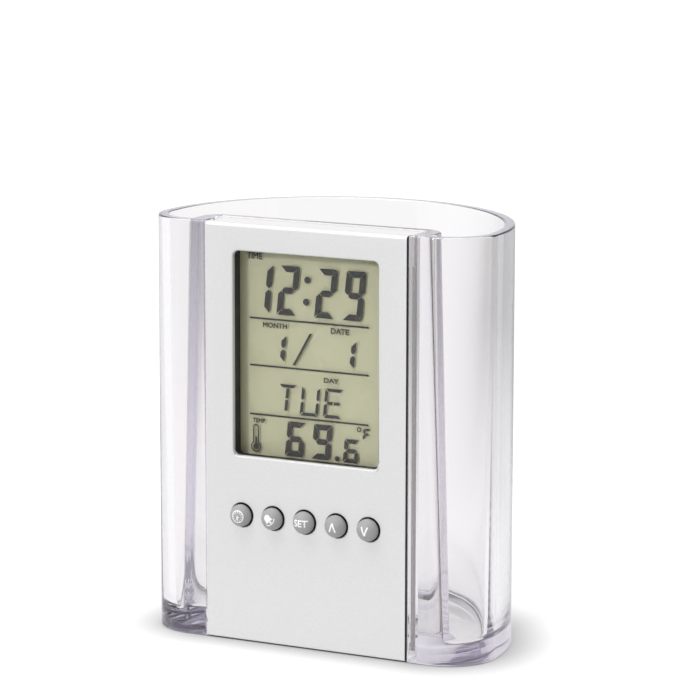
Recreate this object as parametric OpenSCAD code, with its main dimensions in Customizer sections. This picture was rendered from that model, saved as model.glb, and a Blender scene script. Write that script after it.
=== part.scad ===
// Pen holder with a clock: a clear D-shaped cup whose front pocket carries a slide-in digital
// clock with a tall display and five buttons. Front faces -Y, the cup stands on Z = 0.
// Depths inside the clock are counted backwards from the flat front of the cup.

/* [Cup] */
// Overall width, twice the radius of the round back
cup_w = 96; // [95:0.5:100]
// Overall depth from the flat front to the round back
cup_d = 61; // [60.5:0.5:63]
// Overall height
cup_h = 110; // [109.5:0.5:112]
// Wall at the rim
wall_rim = 2.8; // [2.4:0.1:3.2]
// Wall just above the floor, thicker because the cavity is drafted
wall_low = 3.8; // [3.4:0.1:4.2]
// Solid floor under the cavity
floor_t = 5; // [4:0.5:7]
// Wall between the clock pocket and the pens
pocket_back_t = 2.4; // [2:0.1:3]
// Side wall of the pocket at the rim
pocket_side_rim = 5; // [4.5:0.1:5.5]
// Side wall of the pocket at the floor
pocket_side_low = 8; // [7:0.1:8.5]

/* [Clock case] */
// Width of the clock's face
case_w = 57.5; // [57:0.1:58]
// Depth of the whole clock
case_d = 10; // [10:0.1:10.2]
// Depth of the front shell, where the case parts
case_split = 3; // [2.8:0.1:3.2]
// Running gap between the clock and its pocket
case_gap = 0.3; // [0.25:0.05:0.35]
// Front wall of the case
front_t = 2; // [1.8:0.1:2]
// Rounding of the top front edge
edge_r = 0.9; // [0.6:0.1:1.2]
// How far the side rails stand out of the case
rail_out = 1.2; // [1.1:0.1:2.2]

/* [Display] */
// Width of the window
window_w = 41.6; // [40:0.2:42]
// Height of the window
window_h = 53.5; // [52:0.5:53.5]
// Height of the window's lower edge above the table
window_z = 49.3; // [49.3:0.1:50]
// Corner radius of the window
window_r = 1.5; // [1:0.1:2]
// Depth of the display behind the face
display_depth = 3.8; // [3.6:0.1:3.8]

/* [Buttons] */
// Diameter of a button's cap
button_dia = 5.8; // [5.4:0.1:5.9]
// Distance between neighbouring buttons
button_pitch = 9.15; // [9:0.05:9.3]
// Height of the button row above the table
button_z = 33.65; // [33.4:0.05:34]
// How far a button stands out of the face
button_proud = 2.8; // [2.4:0.1:2.8]
// How far a button can be pressed
button_travel = 0.8; // [0.5:0.1:0.9]

/* [Battery] */
// Diameter of the coin cell
cell_dia = 20; // [19.5:0.1:20]
// Thickness of the coin cell
cell_t = 3.2; // [3:0.1:3.2]
// Turn that frees the battery door, in degrees
door_turn = 45; // [40:1:50]

/* [Hidden] */
$fn = 96;
// Overlap of a cutter past the face that it opens
past = 1;
// Contact gap between neighbouring pieces of the clock
seat_gap = 0.1;

cup_r = cup_w / 2;
corner_r = cup_d - cup_r;
front_y = (button_proud - cup_d) / 2;
axis_y = front_y + corner_r;
flat_x = cup_r - corner_r;
rim_bevel = 0.5;
floor_bevel = 2;
pocket_x = case_w / 2 + case_gap;
pocket_d = case_d + case_gap;

case_z0 = 0.3;
case_z1 = cup_h - 0.2;
side_t = 1.6;
back_t = 1.2;
cover_inset = 0.3;
cover_side_t = 1.4;
cover_x = case_w / 2 - cover_inset;
cover_z0 = case_z0 + cover_inset;
cover_z1 = case_z1 - cover_inset;
cover_inner_d = case_d - back_t;

rail_d0 = 5.9;
rail_d1 = 7.7;
rail_z0 = 2.3;
rail_z1 = 101.5;
rail_gap = 0.3;

// Layers of the display, each given by the depth of its front
glass_t = 0.6;
cell_gap_t = 0.1;
film_t = 0.2;
front_glass_d = display_depth + film_t;
segment_d = front_glass_d + glass_t;
rear_glass_d = segment_d + cell_gap_t;
reflector_d = rear_glass_d + glass_t;
board_d = 6.6;
board_t = 0.8;
board_back_d = board_d + board_t;
glass_x = window_w / 2 + 1.1;
film_x = glass_x - 0.4;
ledge = 2.4;
rear_glass_z0 = window_z - 0.7;
rear_glass_z1 = window_z + window_h + 0.7;
glass_z0 = rear_glass_z0 - ledge;
glass_z1 = rear_glass_z1 + ledge;
frame_wall = 1.3;
frame_x = glass_x + 0.2 + frame_wall;

board_x = 26.8;
board_z0 = 29;
board_z1 = 107;
board_notch_x = 22.9;
board_notch_z = 101.5;
board_screws_at = [[-25.2, 44], [25.2, 44], [-25.2, 92], [25.2, 92]];
case_screws_at = [[-24.6, 5.6], [24.6, 5.6], [-25.2, 104.8], [25.2, 104.8]];
post_r = 1.75;
post_end_d = 7.6;
pilot_r = 0.95;
screw_r = 0.9;
screw_head_r = 1.6;

button_r = button_dia / 2;
button_hole_r = button_r + 0.3;
flange_r = button_r + 0.9;
flange_d = front_t + 0.2;
flange_t = 0.7;
plunger_r = 1.4;
plunger_end_d = 4.2;
dome_cap_h = 1.6;
rubber_top_d = plunger_end_d + 0.05;
rubber_base_r = 3.2;

cell_x = 13;
low_z = 16;
cell_d = 4.6;
well_r = 11;
well_wall = 1.2;
well_end_d = 7.9;
door_head_r = 12;
door_neck_r = 10.7;
door_d = 8;
ledge_d0 = cover_inner_d;
ledge_d1 = cover_inner_d + 0.5;
lug_angle = 30;
leaf_t = 0.3;
leaf_w = 4;
leaf_room = 0.4;
leaf_x = cell_x - cell_dia / 2 - seat_gap - leaf_t;
leaf_rise_d = 6;

buzzer_x = -14;
buzzer_r = 10;
buzzer_ring_d = 8;
buzzer_plate_t = 0.2;
sound_hole_r = 0.75;
sound_ring_r = 4;
vent_count = 4;
vent_pitch = 1.6;
vent_w = 0.8;
vent_x = -25.5;
vent_z0 = 30;
vent_z1 = 36;

// Box between two depths behind the face
module block(x0, x1, d0, d1, z0, z1)
    translate([x0, front_y + d0, z0]) cube([x1 - x0, d1 - d0, z1 - z0]);

// Flat outline, drawn as x and height, thickened between two depths
module plate(d0, d1)
    translate([0, front_y + d1, 0]) rotate([90, 0, 0]) linear_extrude(d1 - d0) children();

// Round pin along the depth
module pin(x, z, r, d0, d1)
    translate([x, front_y + d0, z]) rotate([-90, 0, 0]) cylinder(r = r, h = d1 - d0);

// Ring along the depth
module ring(x, z, r_in, r_out, d0, d1)
    difference() {
        pin(x, z, r_out, d0, d1);
        pin(x, z, r_in, d0 - past, d1 + past);
    }

// Points of an arc
function arc(cx, cy, r, a0, a1, steps = 8) =
    [for (i = [0:steps]) let (a = a0 + (a1 - a0) * i / steps) [cx + r * cos(a), cy + r * sin(a)]];

// Rectangle with round corners
function round_rect(x0, x1, y0, y1, r) = concat(
    arc(x1 - r, y0 + r, r, 270, 360), arc(x1 - r, y1 - r, r, 0, 90),
    arc(x0 + r, y1 - r, r, 90, 180), arc(x0 + r, y0 + r, r, 180, 270));

// D-shaped solid: a list of [inset from the outside, height] from the bottom up
module d_solid(profile) {
    z0 = profile[0][1];
    z1 = profile[len(profile) - 1][1];
    function section(r) = concat([[0, z0]], [for (p = profile) [r - p[0], p[1]]], [[0, z1]]);
    translate([0, axis_y, 0]) rotate_extrude(angle = 180) polygon(section(cup_r));
    for (side = [0, 1])
        translate([(2 * side - 1) * flat_x, axis_y, 0]) rotate(180 + 90 * side)
            rotate_extrude(angle = 90) polygon(section(corner_r));
    translate([-flat_x, axis_y, 0]) rotate([90, 0, 90]) linear_extrude(2 * flat_x)
        mirror([1, 0]) polygon(section(corner_r));
}

module cup() {
    core_low = pocket_x + pocket_side_low;
    core_rim = pocket_x + pocket_side_rim;
    groove_x = pocket_x - case_gap - cover_inset + rail_out + rail_gap;
    color([0.86, 0.86, 0.9, 0.35]) difference() {
        d_solid([[rim_bevel, 0], [0, rim_bevel], [0, cup_h - rim_bevel], [rim_bevel, cup_h]]);
        difference() {
            d_solid([[wall_low + floor_bevel, floor_t], [wall_low, floor_t + floor_bevel],
                     [wall_rim, cup_h - rim_bevel], [wall_rim - rim_bevel - past, cup_h + past]]);
            plate(-past, pocket_d + pocket_back_t)
                polygon([[-core_low, 0], [core_low, 0], [core_rim, cup_h + 2 * past],
                         [-core_rim, cup_h + 2 * past]]);
        }
        block(-pocket_x, pocket_x, -past, pocket_d, -past, cup_h + past);
        block(-groove_x, groove_x, rail_d0 - rail_gap, rail_d1 + rail_gap, rail_z0 - seat_gap, cup_h + past);
    }
}

module front_case() {
    inner_x = case_w / 2 - side_t;
    face_z = case_z1 - edge_r;
    notch_x = leaf_w / 2 + leaf_room;
    color([0.87, 0.87, 0.88]) {
        difference() {
            translate([-case_w / 2, front_y, 0]) rotate([90, 0, 90]) linear_extrude(case_w)
                polygon(concat([[case_split, case_z0], [case_split, case_z1]],
                               arc(edge_r, face_z, edge_r, 90, 180), [[0, case_z0]]));
            block(-inner_x, inner_x, front_t, case_split + past, case_z0 + side_t, case_z1 - side_t);
            plate(-past, front_t + past)
                polygon(round_rect(-window_w / 2, window_w / 2, window_z, window_z + window_h, window_r));
            for (i = [-2:2]) pin(i * button_pitch, button_z, button_hole_r, -past, front_t + past);
        }
        for (at = board_screws_at) ring(at[0], at[1], pilot_r, post_r, front_t, board_d);
        for (at = case_screws_at) ring(at[0], at[1], pilot_r, post_r, front_t, post_end_d);
        difference() {
            ring(cell_x, low_z, well_r, well_r + well_wall, front_t, well_end_d);
            block(cell_x - notch_x, cell_x + notch_x, 0, front_t + leaf_t + leaf_room,
                  low_z + well_r - past, low_z + well_r + well_wall + past);
            block(leaf_x - leaf_room, leaf_x + leaf_t + leaf_room, leaf_rise_d - leaf_room,
                  well_end_d + past, low_z + leaf_w / 2, low_z + well_r);
        }
    }
}

// Two notches or lugs of the bayonet, as a band between two radii
module bayonet(r0, r1, d0, d1, angle, turn)
    for (side = [0, 180])
        translate([cell_x, front_y + d1, low_z]) rotate([90, 0, 0])
            rotate(turn + side - angle / 2) rotate_extrude(angle = angle)
                translate([r0, 0]) square([r1 - r0, d1 - d0]);

module rear_cover() {
    inner_x = cover_x - cover_side_t;
    color([0.84, 0.84, 0.85]) difference() {
        union() {
            difference() {
                block(-cover_x, cover_x, case_split, case_d, cover_z0, cover_z1);
                block(-inner_x, inner_x, case_split - past, cover_inner_d,
                      cover_z0 + cover_side_t, cover_z1 - cover_side_t);
            }
            for (side = [0, 1]) mirror([side, 0, 0])
                block(cover_x - past, cover_x + rail_out, rail_d0, rail_d1, rail_z0, rail_z1);
            for (at = case_screws_at) pin(at[0], at[1], post_r, post_end_d, cover_inner_d + 0.5);
            ring(buzzer_x, low_z, buzzer_r - 1.5, buzzer_r, buzzer_ring_d, cover_inner_d + 0.5);
        }
        pin(cell_x, low_z, door_head_r + 0.3, ledge_d1, case_d + past);
        pin(cell_x, low_z, door_neck_r + 0.3, ledge_d0 - past, case_d + past);
        bayonet(door_neck_r - 1, door_head_r + 0.1, ledge_d0 - past, ledge_d1 + past / 4,
                lug_angle + 8, -door_turn);
        for (at = case_screws_at) {
            pin(at[0], at[1], screw_r + 0.15, post_end_d - past, case_d + past);
            pin(at[0], at[1], screw_head_r + 0.25, case_d - 0.7, case_d + past);
        }
        for (at = concat([[0, 0]], [for (a = [0:90:270]) sound_ring_r * [cos(a), sin(a)]]))
            pin(buzzer_x + at[0], low_z + at[1], sound_hole_r, cover_inner_d - past, case_d + past);
        for (x = [for (i = [0:vent_count - 1]) vent_x + i * vent_pitch])
            block(x, x + vent_w, cover_inner_d - past, case_d + past, vent_z0, vent_z1);
    }
}

module battery_door() {
    slot_w = 1.6;
    slot_x = 8;
    slot_t = 0.8;
    color([0.78, 0.78, 0.8]) difference() {
        union() {
            pin(cell_x, low_z, door_head_r, ledge_d1 + 0.05, case_d);
            pin(cell_x, low_z, door_neck_r, door_d, ledge_d1 + 0.2);
            bayonet(door_neck_r - 1, door_head_r - 0.1, door_d, ledge_d0 - seat_gap, lug_angle, 0);
        }
        block(cell_x - slot_x, cell_x + slot_x, case_d - slot_t, case_d + past,
              low_z - slot_w / 2, low_z + slot_w / 2);
    }
}

module lcd_frame() {
    pocket_gap = 0.2;
    pocket = glass_x + pocket_gap;
    frame_z0 = glass_z0 - pocket_gap - frame_wall;
    frame_z1 = glass_z1 + pocket_gap + frame_wall;
    color([0.06, 0.06, 0.07]) difference() {
        block(-frame_x, frame_x, front_t, board_d, frame_z0, frame_z1);
        plate(front_t - past, display_depth + past)
            polygon(round_rect(-window_w / 2 - 0.1, window_w / 2 + 0.1, window_z - 0.1,
                               window_z + window_h + 0.1, window_r));
        block(-pocket, pocket, display_depth, board_d + past, glass_z0 - pocket_gap, glass_z1 + pocket_gap);
    }
}

module lcd_polariser()
    color([0.75, 0.76, 0.68, 0.4])
        block(-film_x, film_x, display_depth, front_glass_d, rear_glass_z0, rear_glass_z1);

module lcd_front_glass()
    color([0.8, 0.85, 0.82, 0.4])
        block(-glass_x, glass_x, front_glass_d, segment_d, glass_z0, glass_z1);

module lcd_rear_glass()
    color([0.8, 0.85, 0.82, 0.4])
        block(-glass_x, glass_x, rear_glass_d, reflector_d, rear_glass_z0, rear_glass_z1);

module lcd_reflector()
    color([0.7, 0.7, 0.57])
        block(-film_x, film_x, reflector_d, reflector_d + film_t, rear_glass_z0, rear_glass_z1);

// Lean of the figures, as sideways shift for each millimetre of height
lean = tan(6);
function leaned(points, x, z) = [for (p = points) [x + p[0] + lean * p[1], z + p[1]]];

// Bars of a seven-segment figure in a box of width w and height h, with stroke t and split s
function bar_points(bar, w, h, t, s) =
    let (m = h / 2, c = t / 2)
    bar == "top" ? [[s, h], [w - s, h], [w - t - s, h - t], [t + s, h - t]] :
    bar == "low" ? [[s, 0], [t + s, t], [w - t - s, t], [w - s, 0]] :
    bar == "mid" ? [[c + s, m], [t + s, m + c], [w - t - s, m + c], [w - c - s, m],
                    [w - t - s, m - c], [t + s, m - c]] :
    bar == "mid_left" ? [[c + s, m], [t + s, m + c], [w / 2 - s, m + c], [w / 2 - s, m - c], [t + s, m - c]] :
    bar == "mid_right" ? [[w - c - s, m], [w - t - s, m - c], [w / 2 + s, m - c], [w / 2 + s, m + c],
                          [w - t - s, m + c]] :
    bar == "stem_up" ? [[w / 2 - c, h - t - s], [w / 2 + c, h - t - s], [w / 2 + c, m + s],
                        [w / 2 - c, m + s]] :
    bar == "stem_low" ? [[w / 2 - c, m - s], [w / 2 + c, m - s], [w / 2 + c, t], [w / 2 - c, t]] :
    bar == "up_left" ? [[0, h - s], [t, h - t - s], [t, m + c + s], [c, m + s], [0, m + c + s]] :
    bar == "up_right" ? [[w, h - s], [w, m + c + s], [w - c, m + s], [w - t, m + c + s],
                         [w - t, h - t - s]] :
    bar == "low_left" ? [[0, s], [0, m - c - s], [c, m - s], [t, m - c - s], [t, t + s]] :
    [[w, s], [w - t, t + s], [w - t, m - c - s], [w - c, m - s], [w, m - c - s]];

BARS = [["1", ["up_right", "low_right"]],
        ["2", ["top", "up_right", "mid", "low_left", "low"]],
        ["6", ["top", "up_left", "mid", "low_left", "low_right", "low"]],
        ["9", ["top", "up_left", "up_right", "mid", "low_right", "low"]],
        ["U", ["up_left", "up_right", "low_left", "low_right", "low"]],
        ["E", ["top", "up_left", "mid_left", "mid_right", "low_left", "low"]],
        ["F", ["top", "up_left", "mid", "low_left"]],
        ["T", ["top", "stem_up", "stem_low"]]];

module figure(value, x, z, w, h, t, s = 0.16)
    for (bar = BARS[search([value], BARS)[0]][1])
        polygon(leaned(bar_points(bar, w, h, t, s), x, z));

module bar_line(x0, x1, z, t) translate([x0, z - t / 2]) square([x1 - x0, t]);

module disc(x, z, r) translate([x, z]) circle(r = r);

module lcd_segments() {
    big_w = 5.5;
    big_h = 12.8;
    big_t = 1.6;
    day_w = 5.2;
    day_h = 7.7;
    day_t = 0.8;
    day_s = 0.22;
    one_w = 4.2;
    one_h = 7.1;
    warm_h = 9.1;
    warm_t = 1.45;
    // Feet of the four rows and heights of the rules between them
    time_z = 86.3;
    date_z = 73.9;
    day_z = 60.5;
    warm_z = 49.5;
    rules_z = [84.9, 72.55, 59.65];
    color([0.25, 0.25, 0.27]) plate(segment_d, rear_glass_d) {
        figure("1", -17.2, time_z, big_w - 1, big_h, big_t);
        figure("2", -10.6, time_z, big_w, big_h, big_t);
        for (at = [[-2.04, 3.8], [-1.66, 9.5]]) disc(at[0], time_z + at[1], 0.85);
        figure("2", 0.3, time_z, big_w, big_h, big_t);
        figure("9", 8.3, time_z, big_w, big_h, big_t);
        for (z = rules_z) bar_line(-18.3, 15.8, z, 0.45);
        for (x = [-12.6, 7.4]) figure("1", x, date_z, one_w, one_h, 1.25);
        polygon([[-5.9, date_z - 0.5], [-5.2, date_z - 0.5], [-0.3, date_z + 8.1], [-1, date_z + 8.1]]);
        figure("T", -10.6, day_z, day_w, day_h, day_t, day_s);
        figure("U", -3.9, day_z, day_w, day_h, day_t, day_s);
        figure("E", 2.8, day_z, day_w, day_h, day_t, day_s);
        figure("6", -8.2, warm_z, 5.2, warm_h, warm_t);
        figure("9", -0.6, warm_z, 5.3, warm_h, warm_t);
        disc(6.9, warm_z + 0.6, 0.65);
        figure("6", 8.5, warm_z - 0.1, 4.2, 6.1, 1.05);
        difference() {
            disc(13.2, 58.3, 0.65);
            disc(13.2, 58.3, 0.4);
        }
        figure("F", 14.2, 55.7, 2, 3, 0.5, 0.08);
        difference() {
            thermometer(1.45, 0.85);
            thermometer(1.15, 0.55);
        }
        disc(thermometer_x, thermometer_z, 0.8);
        translate([thermometer_x - 0.25, thermometer_z]) square([0.5, 2.6]);
    }
}

thermometer_x = -16.6;
thermometer_z = 51.1;

// Outline of a thermometer with a bulb of radius r and a tube of half width half
module thermometer(r, half) {
    tube_top = 5.9;
    disc(thermometer_x, thermometer_z, r);
    translate([thermometer_x - half, thermometer_z]) square([2 * half, tube_top - 0.85]);
    disc(thermometer_x, thermometer_z + tube_top - 0.85, half);
}

module zebra_strips() {
    strip_x = 20;
    strip_gap = 0.2;
    color([0.93, 0.6, 0.65])
        for (z = [glass_z0, rear_glass_z1])
            block(-strip_x, strip_x, segment_d, board_d, z + strip_gap, z + ledge - strip_gap);
}

module circuit_board()
    color([0.12, 0.36, 0.2]) difference() {
        block(-board_x, board_x, board_d, board_back_d, board_z0, board_z1);
        for (side = [0, 1]) mirror([side, 0, 0])
            block(board_notch_x, board_x + past, board_d - past, board_back_d + past,
                  board_notch_z, board_z1 + past);
        for (at = board_screws_at) pin(at[0], at[1], screw_r + 0.1, board_d - past, board_back_d + past);
    }

module chip_blob() {
    blob_z = 66;
    color([0.05, 0.05, 0.05]) translate([0, front_y + board_back_d, blob_z]) rotate([-90, 0, 0])
        rotate_extrude() polygon(concat([[0, 0]], arc(3.5, 0, 2, 0, 30, 3), [[3.5, 1.1], [0, 1.2]]));
}

module board_parts()
    color([0.55, 0.45, 0.33])
        for (at = [[-12, 52], [-12, 56], [12, 52], [14, 80], [-14, 80]])
            block(at[0] - 1, at[0] + 1, board_back_d, board_back_d + 0.6, at[1] - 0.6, at[1] + 0.6);

// Two wires that hang from the lower edge of the board, down to height z
module wire_pair(z, apart, r)
    for (side = [-1, 1]) translate([side * apart / 2, 0, z]) cylinder(r = r, h = board_z0 - z);

module quartz_crystal() {
    can_z = 21.5;
    can_h = 6;
    color([0.8, 0.8, 0.82]) translate([25, front_y + board_d + board_t / 2, 0]) {
        translate([0, 0, can_z]) cylinder(r = 1, h = can_h);
        wire_pair(can_z + can_h - 0.3, 0.8, 0.15);
    }
}

module thermistor() {
    bead_z = 26;
    color([0.1, 0.1, 0.1]) translate([-25.2, front_y + board_d + board_t / 2, 0]) {
        translate([0, 0, bead_z]) sphere(r = 1.1);
        wire_pair(bead_z + 0.4, 1, 0.2);
    }
}

module buzzer_plate()
    color([0.8, 0.62, 0.25]) pin(buzzer_x, low_z, buzzer_r, buzzer_ring_d - buzzer_plate_t, buzzer_ring_d);

module buzzer_ceramic()
    color([0.9, 0.9, 0.86])
        pin(buzzer_x, low_z, 0.7 * buzzer_r, buzzer_ring_d - 2 * buzzer_plate_t,
            buzzer_ring_d - buzzer_plate_t);

// Round lead swept through points given as depth and height, all at one x
module lead(x, points, r, sides = 8) {
    last = len(points) - 1;
    function along(i) = let (v = points[min(i + 1, last)] - points[max(i - 1, 0)]) v / norm(v);
    rings = [for (i = [0:last]) let (t = along(i)) for (k = [0:sides - 1])
        let (a = 360 * k / sides, s = r * cos(a), c = points[i])
        [x + r * sin(a), front_y + c[0] - t[1] * s, c[1] + t[0] * s]];
    walls = [for (i = [0:last - 1]) for (k = [0:sides - 1])
        let (n = (k + 1) % sides, a = i * sides, b = a + sides)
        each [[a + k, b + k, b + n], [a + k, b + n, a + n]]];
    end = last * sides;
    caps = [for (k = [1:sides - 2]) each [[0, k, k + 1], [end, end + k + 1, end + k]]];
    polyhedron(rings, concat(walls, caps));
}

module buzzer_leads() {
    lead_r = 0.35;
    color([0.75, 0.1, 0.1])
        lead(buzzer_x - 2, [[7.4, 24.2], [7.4, 26], [7.85, 28], [7.85, 31.5]], lead_r);
    color([0.1, 0.1, 0.1])
        lead(buzzer_x + 2, [[7.2, 21.4], [7.2, 26], [7.85, 28], [7.85, 31.5]], lead_r);
}

module keypad_sheet() {
    sheet_x = 23;
    sheet_t = 0.6;
    sheet_z0 = 29.6;
    sheet_z1 = 38.2;
    color([0.45, 0.45, 0.46]) difference() {
        block(-sheet_x, sheet_x, board_d - sheet_t, board_d, sheet_z0, sheet_z1);
        for (i = [-2:2]) pin(i * button_pitch, button_z, rubber_base_r + 0.2, 0, board_d + past);
    }
}

module button(place) {
    dome_r = (button_r * button_r + dome_cap_h * dome_cap_h) / (2 * dome_cap_h);
    x = place * button_pitch;
    color([0.55, 0.55, 0.55]) {
        intersection() {
            pin(x, button_z, button_r, -button_proud - past, flange_d);
            translate([x, front_y - button_proud + dome_r, button_z]) sphere(r = dome_r);
        }
        pin(x, button_z, flange_r, flange_d, flange_d + flange_t);
        pin(x, button_z, plunger_r, flange_d + flange_t, plunger_end_d);
    }
}

module button_clock() button(-2);
module button_alarm() button(-1);
module button_set() button(0);
module button_up() button(1);
module button_down() button(2);

// Hollow rubber dome that springs a button back, hollow as deep as the button's travel
module dome(place) {
    top_r = 1.8;
    skirt_t = 0.5;
    ceiling_d = board_d - button_travel;
    color([0.35, 0.35, 0.36]) translate([place * button_pitch, front_y, button_z]) rotate([-90, 0, 0])
        rotate_extrude()
            polygon([[0, rubber_top_d], [top_r, rubber_top_d], [rubber_base_r, board_d],
                     [rubber_base_r - skirt_t, board_d], [top_r, ceiling_d], [0, ceiling_d]]);
}

module dome_clock() dome(-2);
module dome_alarm() dome(-1);
module dome_set() dome(0);
module dome_up() dome(1);
module dome_down() dome(2);

module battery_cell()
    color([0.8, 0.8, 0.8]) pin(cell_x, low_z, cell_dia / 2, cell_d, cell_d + cell_t);

module contact_positive() {
    foot_l = 3;
    foot_d = board_back_d + leaf_t;
    color([0.85, 0.8, 0.6]) {
        block(leaf_x, leaf_x + leaf_t, 3.4, foot_d, low_z - leaf_w / 2, low_z + leaf_w / 2);
        block(leaf_x, leaf_x + leaf_t, leaf_rise_d, foot_d, low_z + leaf_w / 2, board_z0 - leaf_room);
        block(leaf_x, leaf_x + foot_l, board_back_d, foot_d, board_z0 - 2, board_z0 + foot_l);
    }
}

module contact_negative() {
    turn_z = board_z0 - 0.3;
    bow_d = cell_d - 0.05;
    back_d = front_t + leaf_t;
    foot_d = board_back_d + leaf_t;
    color([0.85, 0.8, 0.6])
        translate([cell_x - leaf_w / 2, front_y, 0]) rotate([90, 0, 90]) linear_extrude(leaf_w)
            polygon([[front_t, low_z - 7], [back_d, low_z - 7], [bow_d, low_z - 1], [bow_d, low_z + 1],
                     [back_d, low_z + 7], [back_d, turn_z - leaf_t], [foot_d, turn_z - leaf_t],
                     [foot_d, board_z0 + 3], [board_back_d, board_z0 + 3], [board_back_d, turn_z],
                     [front_t, turn_z], [front_t, low_z + 6.6], [bow_d - leaf_t, low_z + 0.8],
                     [bow_d - leaf_t, low_z - 0.8], [front_t, low_z - 6.6]]);
}

// Small screw with a flat head and a cross slot
module screw(x, z, head_d, head_t, tip_d, head_r)
    difference() {
        union() {
            pin(x, z, head_r, head_d, head_d + head_t);
            pin(x, z, screw_r, tip_d, head_d);
        }
        for (turn = [0, 90])
            translate([x, front_y + head_d + head_t, z]) rotate([0, turn, 0])
                cube([2 * head_r - 0.8, head_t, 0.4], center = true);
    }

module board_screws()
    color([0.7, 0.7, 0.72])
        for (at = board_screws_at) screw(at[0], at[1], board_back_d, 0.8, 3, screw_head_r);

module case_screws()
    color([0.7, 0.7, 0.72])
        for (at = case_screws_at) screw(at[0], at[1], case_d - 0.7, 0.6, 3, screw_head_r);

cup();
front_case();
rear_cover();
battery_door();
lcd_frame();
lcd_polariser();
lcd_front_glass();
lcd_segments();
lcd_rear_glass();
lcd_reflector();
zebra_strips();
circuit_board();
chip_blob();
board_parts();
quartz_crystal();
thermistor();
buzzer_plate();
buzzer_ceramic();
buzzer_leads();
keypad_sheet();
button_clock();
button_alarm();
button_set();
button_up();
button_down();
dome_clock();
dome_alarm();
dome_set();
dome_up();
dome_down();
battery_cell();
contact_positive();
contact_negative();
board_screws();
case_screws();
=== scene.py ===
"""Dressed scene of a desk pen holder whose clear cup carries a slide-in clock.

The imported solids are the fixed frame. The classes below rebuild the clear cup, the clock's shells, its
buttons with their rubber domes, and the small print of its display around that frame, and finish every
other piece. All sizes are metres in the frame's own axes: the clock faces -Y, the cup stands on Z = 0.
"""

import logging
import math
from contextlib import contextmanager
from dataclasses import dataclass, field
from enum import Enum
from functools import partial
from typing import Callable, Iterable, Iterator, Sequence

import bmesh
import bpy
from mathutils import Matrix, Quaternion, Vector


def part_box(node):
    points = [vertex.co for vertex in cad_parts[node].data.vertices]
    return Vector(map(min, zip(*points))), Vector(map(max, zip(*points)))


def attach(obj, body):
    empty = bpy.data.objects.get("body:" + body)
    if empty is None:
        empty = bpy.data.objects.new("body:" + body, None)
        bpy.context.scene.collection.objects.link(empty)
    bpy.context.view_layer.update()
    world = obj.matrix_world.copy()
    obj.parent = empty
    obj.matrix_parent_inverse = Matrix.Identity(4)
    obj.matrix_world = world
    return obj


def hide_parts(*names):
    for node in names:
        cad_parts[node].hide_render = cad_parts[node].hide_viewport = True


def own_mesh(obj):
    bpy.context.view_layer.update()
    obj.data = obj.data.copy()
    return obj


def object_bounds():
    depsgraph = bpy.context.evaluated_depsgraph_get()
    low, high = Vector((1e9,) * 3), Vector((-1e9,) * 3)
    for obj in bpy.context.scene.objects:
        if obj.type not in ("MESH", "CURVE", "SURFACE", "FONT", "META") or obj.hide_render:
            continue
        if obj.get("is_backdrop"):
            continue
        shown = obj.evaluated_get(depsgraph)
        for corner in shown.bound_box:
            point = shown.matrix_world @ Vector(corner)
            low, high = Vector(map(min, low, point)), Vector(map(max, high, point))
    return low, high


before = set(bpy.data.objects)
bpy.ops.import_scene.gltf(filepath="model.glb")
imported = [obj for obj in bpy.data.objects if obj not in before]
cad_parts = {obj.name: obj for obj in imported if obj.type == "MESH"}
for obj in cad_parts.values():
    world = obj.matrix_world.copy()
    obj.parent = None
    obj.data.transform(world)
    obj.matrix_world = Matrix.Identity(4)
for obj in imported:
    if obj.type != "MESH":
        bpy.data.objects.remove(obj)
CAD_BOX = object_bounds()

LOG = logging.getLogger("pen_holder_clock")
MM = 0.001
FULL_TURN = 2 * math.pi
SHARP = math.radians(30)
# Points closer than this are one point: MERGE in meshes, FINE_MERGE where a shape is being made.
MERGE = 0.002 * MM
FINE_MERGE = 0.001 * MM
# How far a cutting tool reaches past what it cuts.
OVER = 1.0 * MM
BUTTONS = ("clock", "alarm", "set", "up", "down")

Point = tuple[float, float]
Colour = tuple[float, float, float, float]
Outline = list[Point]
Socket = bpy.types.NodeSocket
Tree = bpy.types.NodeTree
Piece = bpy.types.Object
Mesh = bpy.types.Mesh
Shape = bmesh.types.BMesh
Edge = bmesh.types.BMEdge
Face = bmesh.types.BMFace

WHITE: Colour = (1.0, 1.0, 1.0, 1.0)


class Body(Enum):
    """Bodies of the frame that the pieces ride on, the buttons apart."""

    CUP = "cup"
    CLOCK = "clock"
    BATTERY_DOOR = "battery_door"


class Tone(Enum):
    """Colours of the pieces, as 8-bit display values."""

    CLEAR = (250, 249, 249)
    EDGE_VIOLET = (168, 156, 190)
    SILVER = (219, 219, 219)
    SHELL_GREY = (226, 224, 224)
    DOOR_GREY = (205, 205, 208)
    BLACK = (22, 22, 24)
    BEZEL = (46, 46, 48)
    DISPLAY_OLIVE = (222, 221, 188)
    DISPLAY_FILM = (200, 202, 180)
    DISPLAY_DARK = (32, 30, 37)
    BUTTON_GREY = (160, 160, 161)
    PRINT_WHITE = (248, 248, 248)
    RUBBER_GREY = (92, 92, 94)
    STRIP_PINK = (236, 150, 165)
    BOARD_GREEN = (34, 96, 58)
    BOARD_COPPER = (58, 128, 78)
    PART_TAN = (150, 122, 92)
    STEEL = (205, 205, 208)
    BRASS = (206, 168, 92)
    CERAMIC = (232, 231, 222)
    LEAD_RED = (190, 32, 30)
    FLOOR = (204, 204, 205)

    def linear(self) -> Colour:
        """Return the colour as linear RGBA."""
        return (*(to_linear(channel / 255) for channel in self.value), 1.0)


def to_linear(value: float) -> float:
    """Turn one display channel, 0 to 1, into linear light."""
    return value / 12.92 if value <= 0.04045 else ((value + 0.055) / 1.055) ** 2.4


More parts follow.
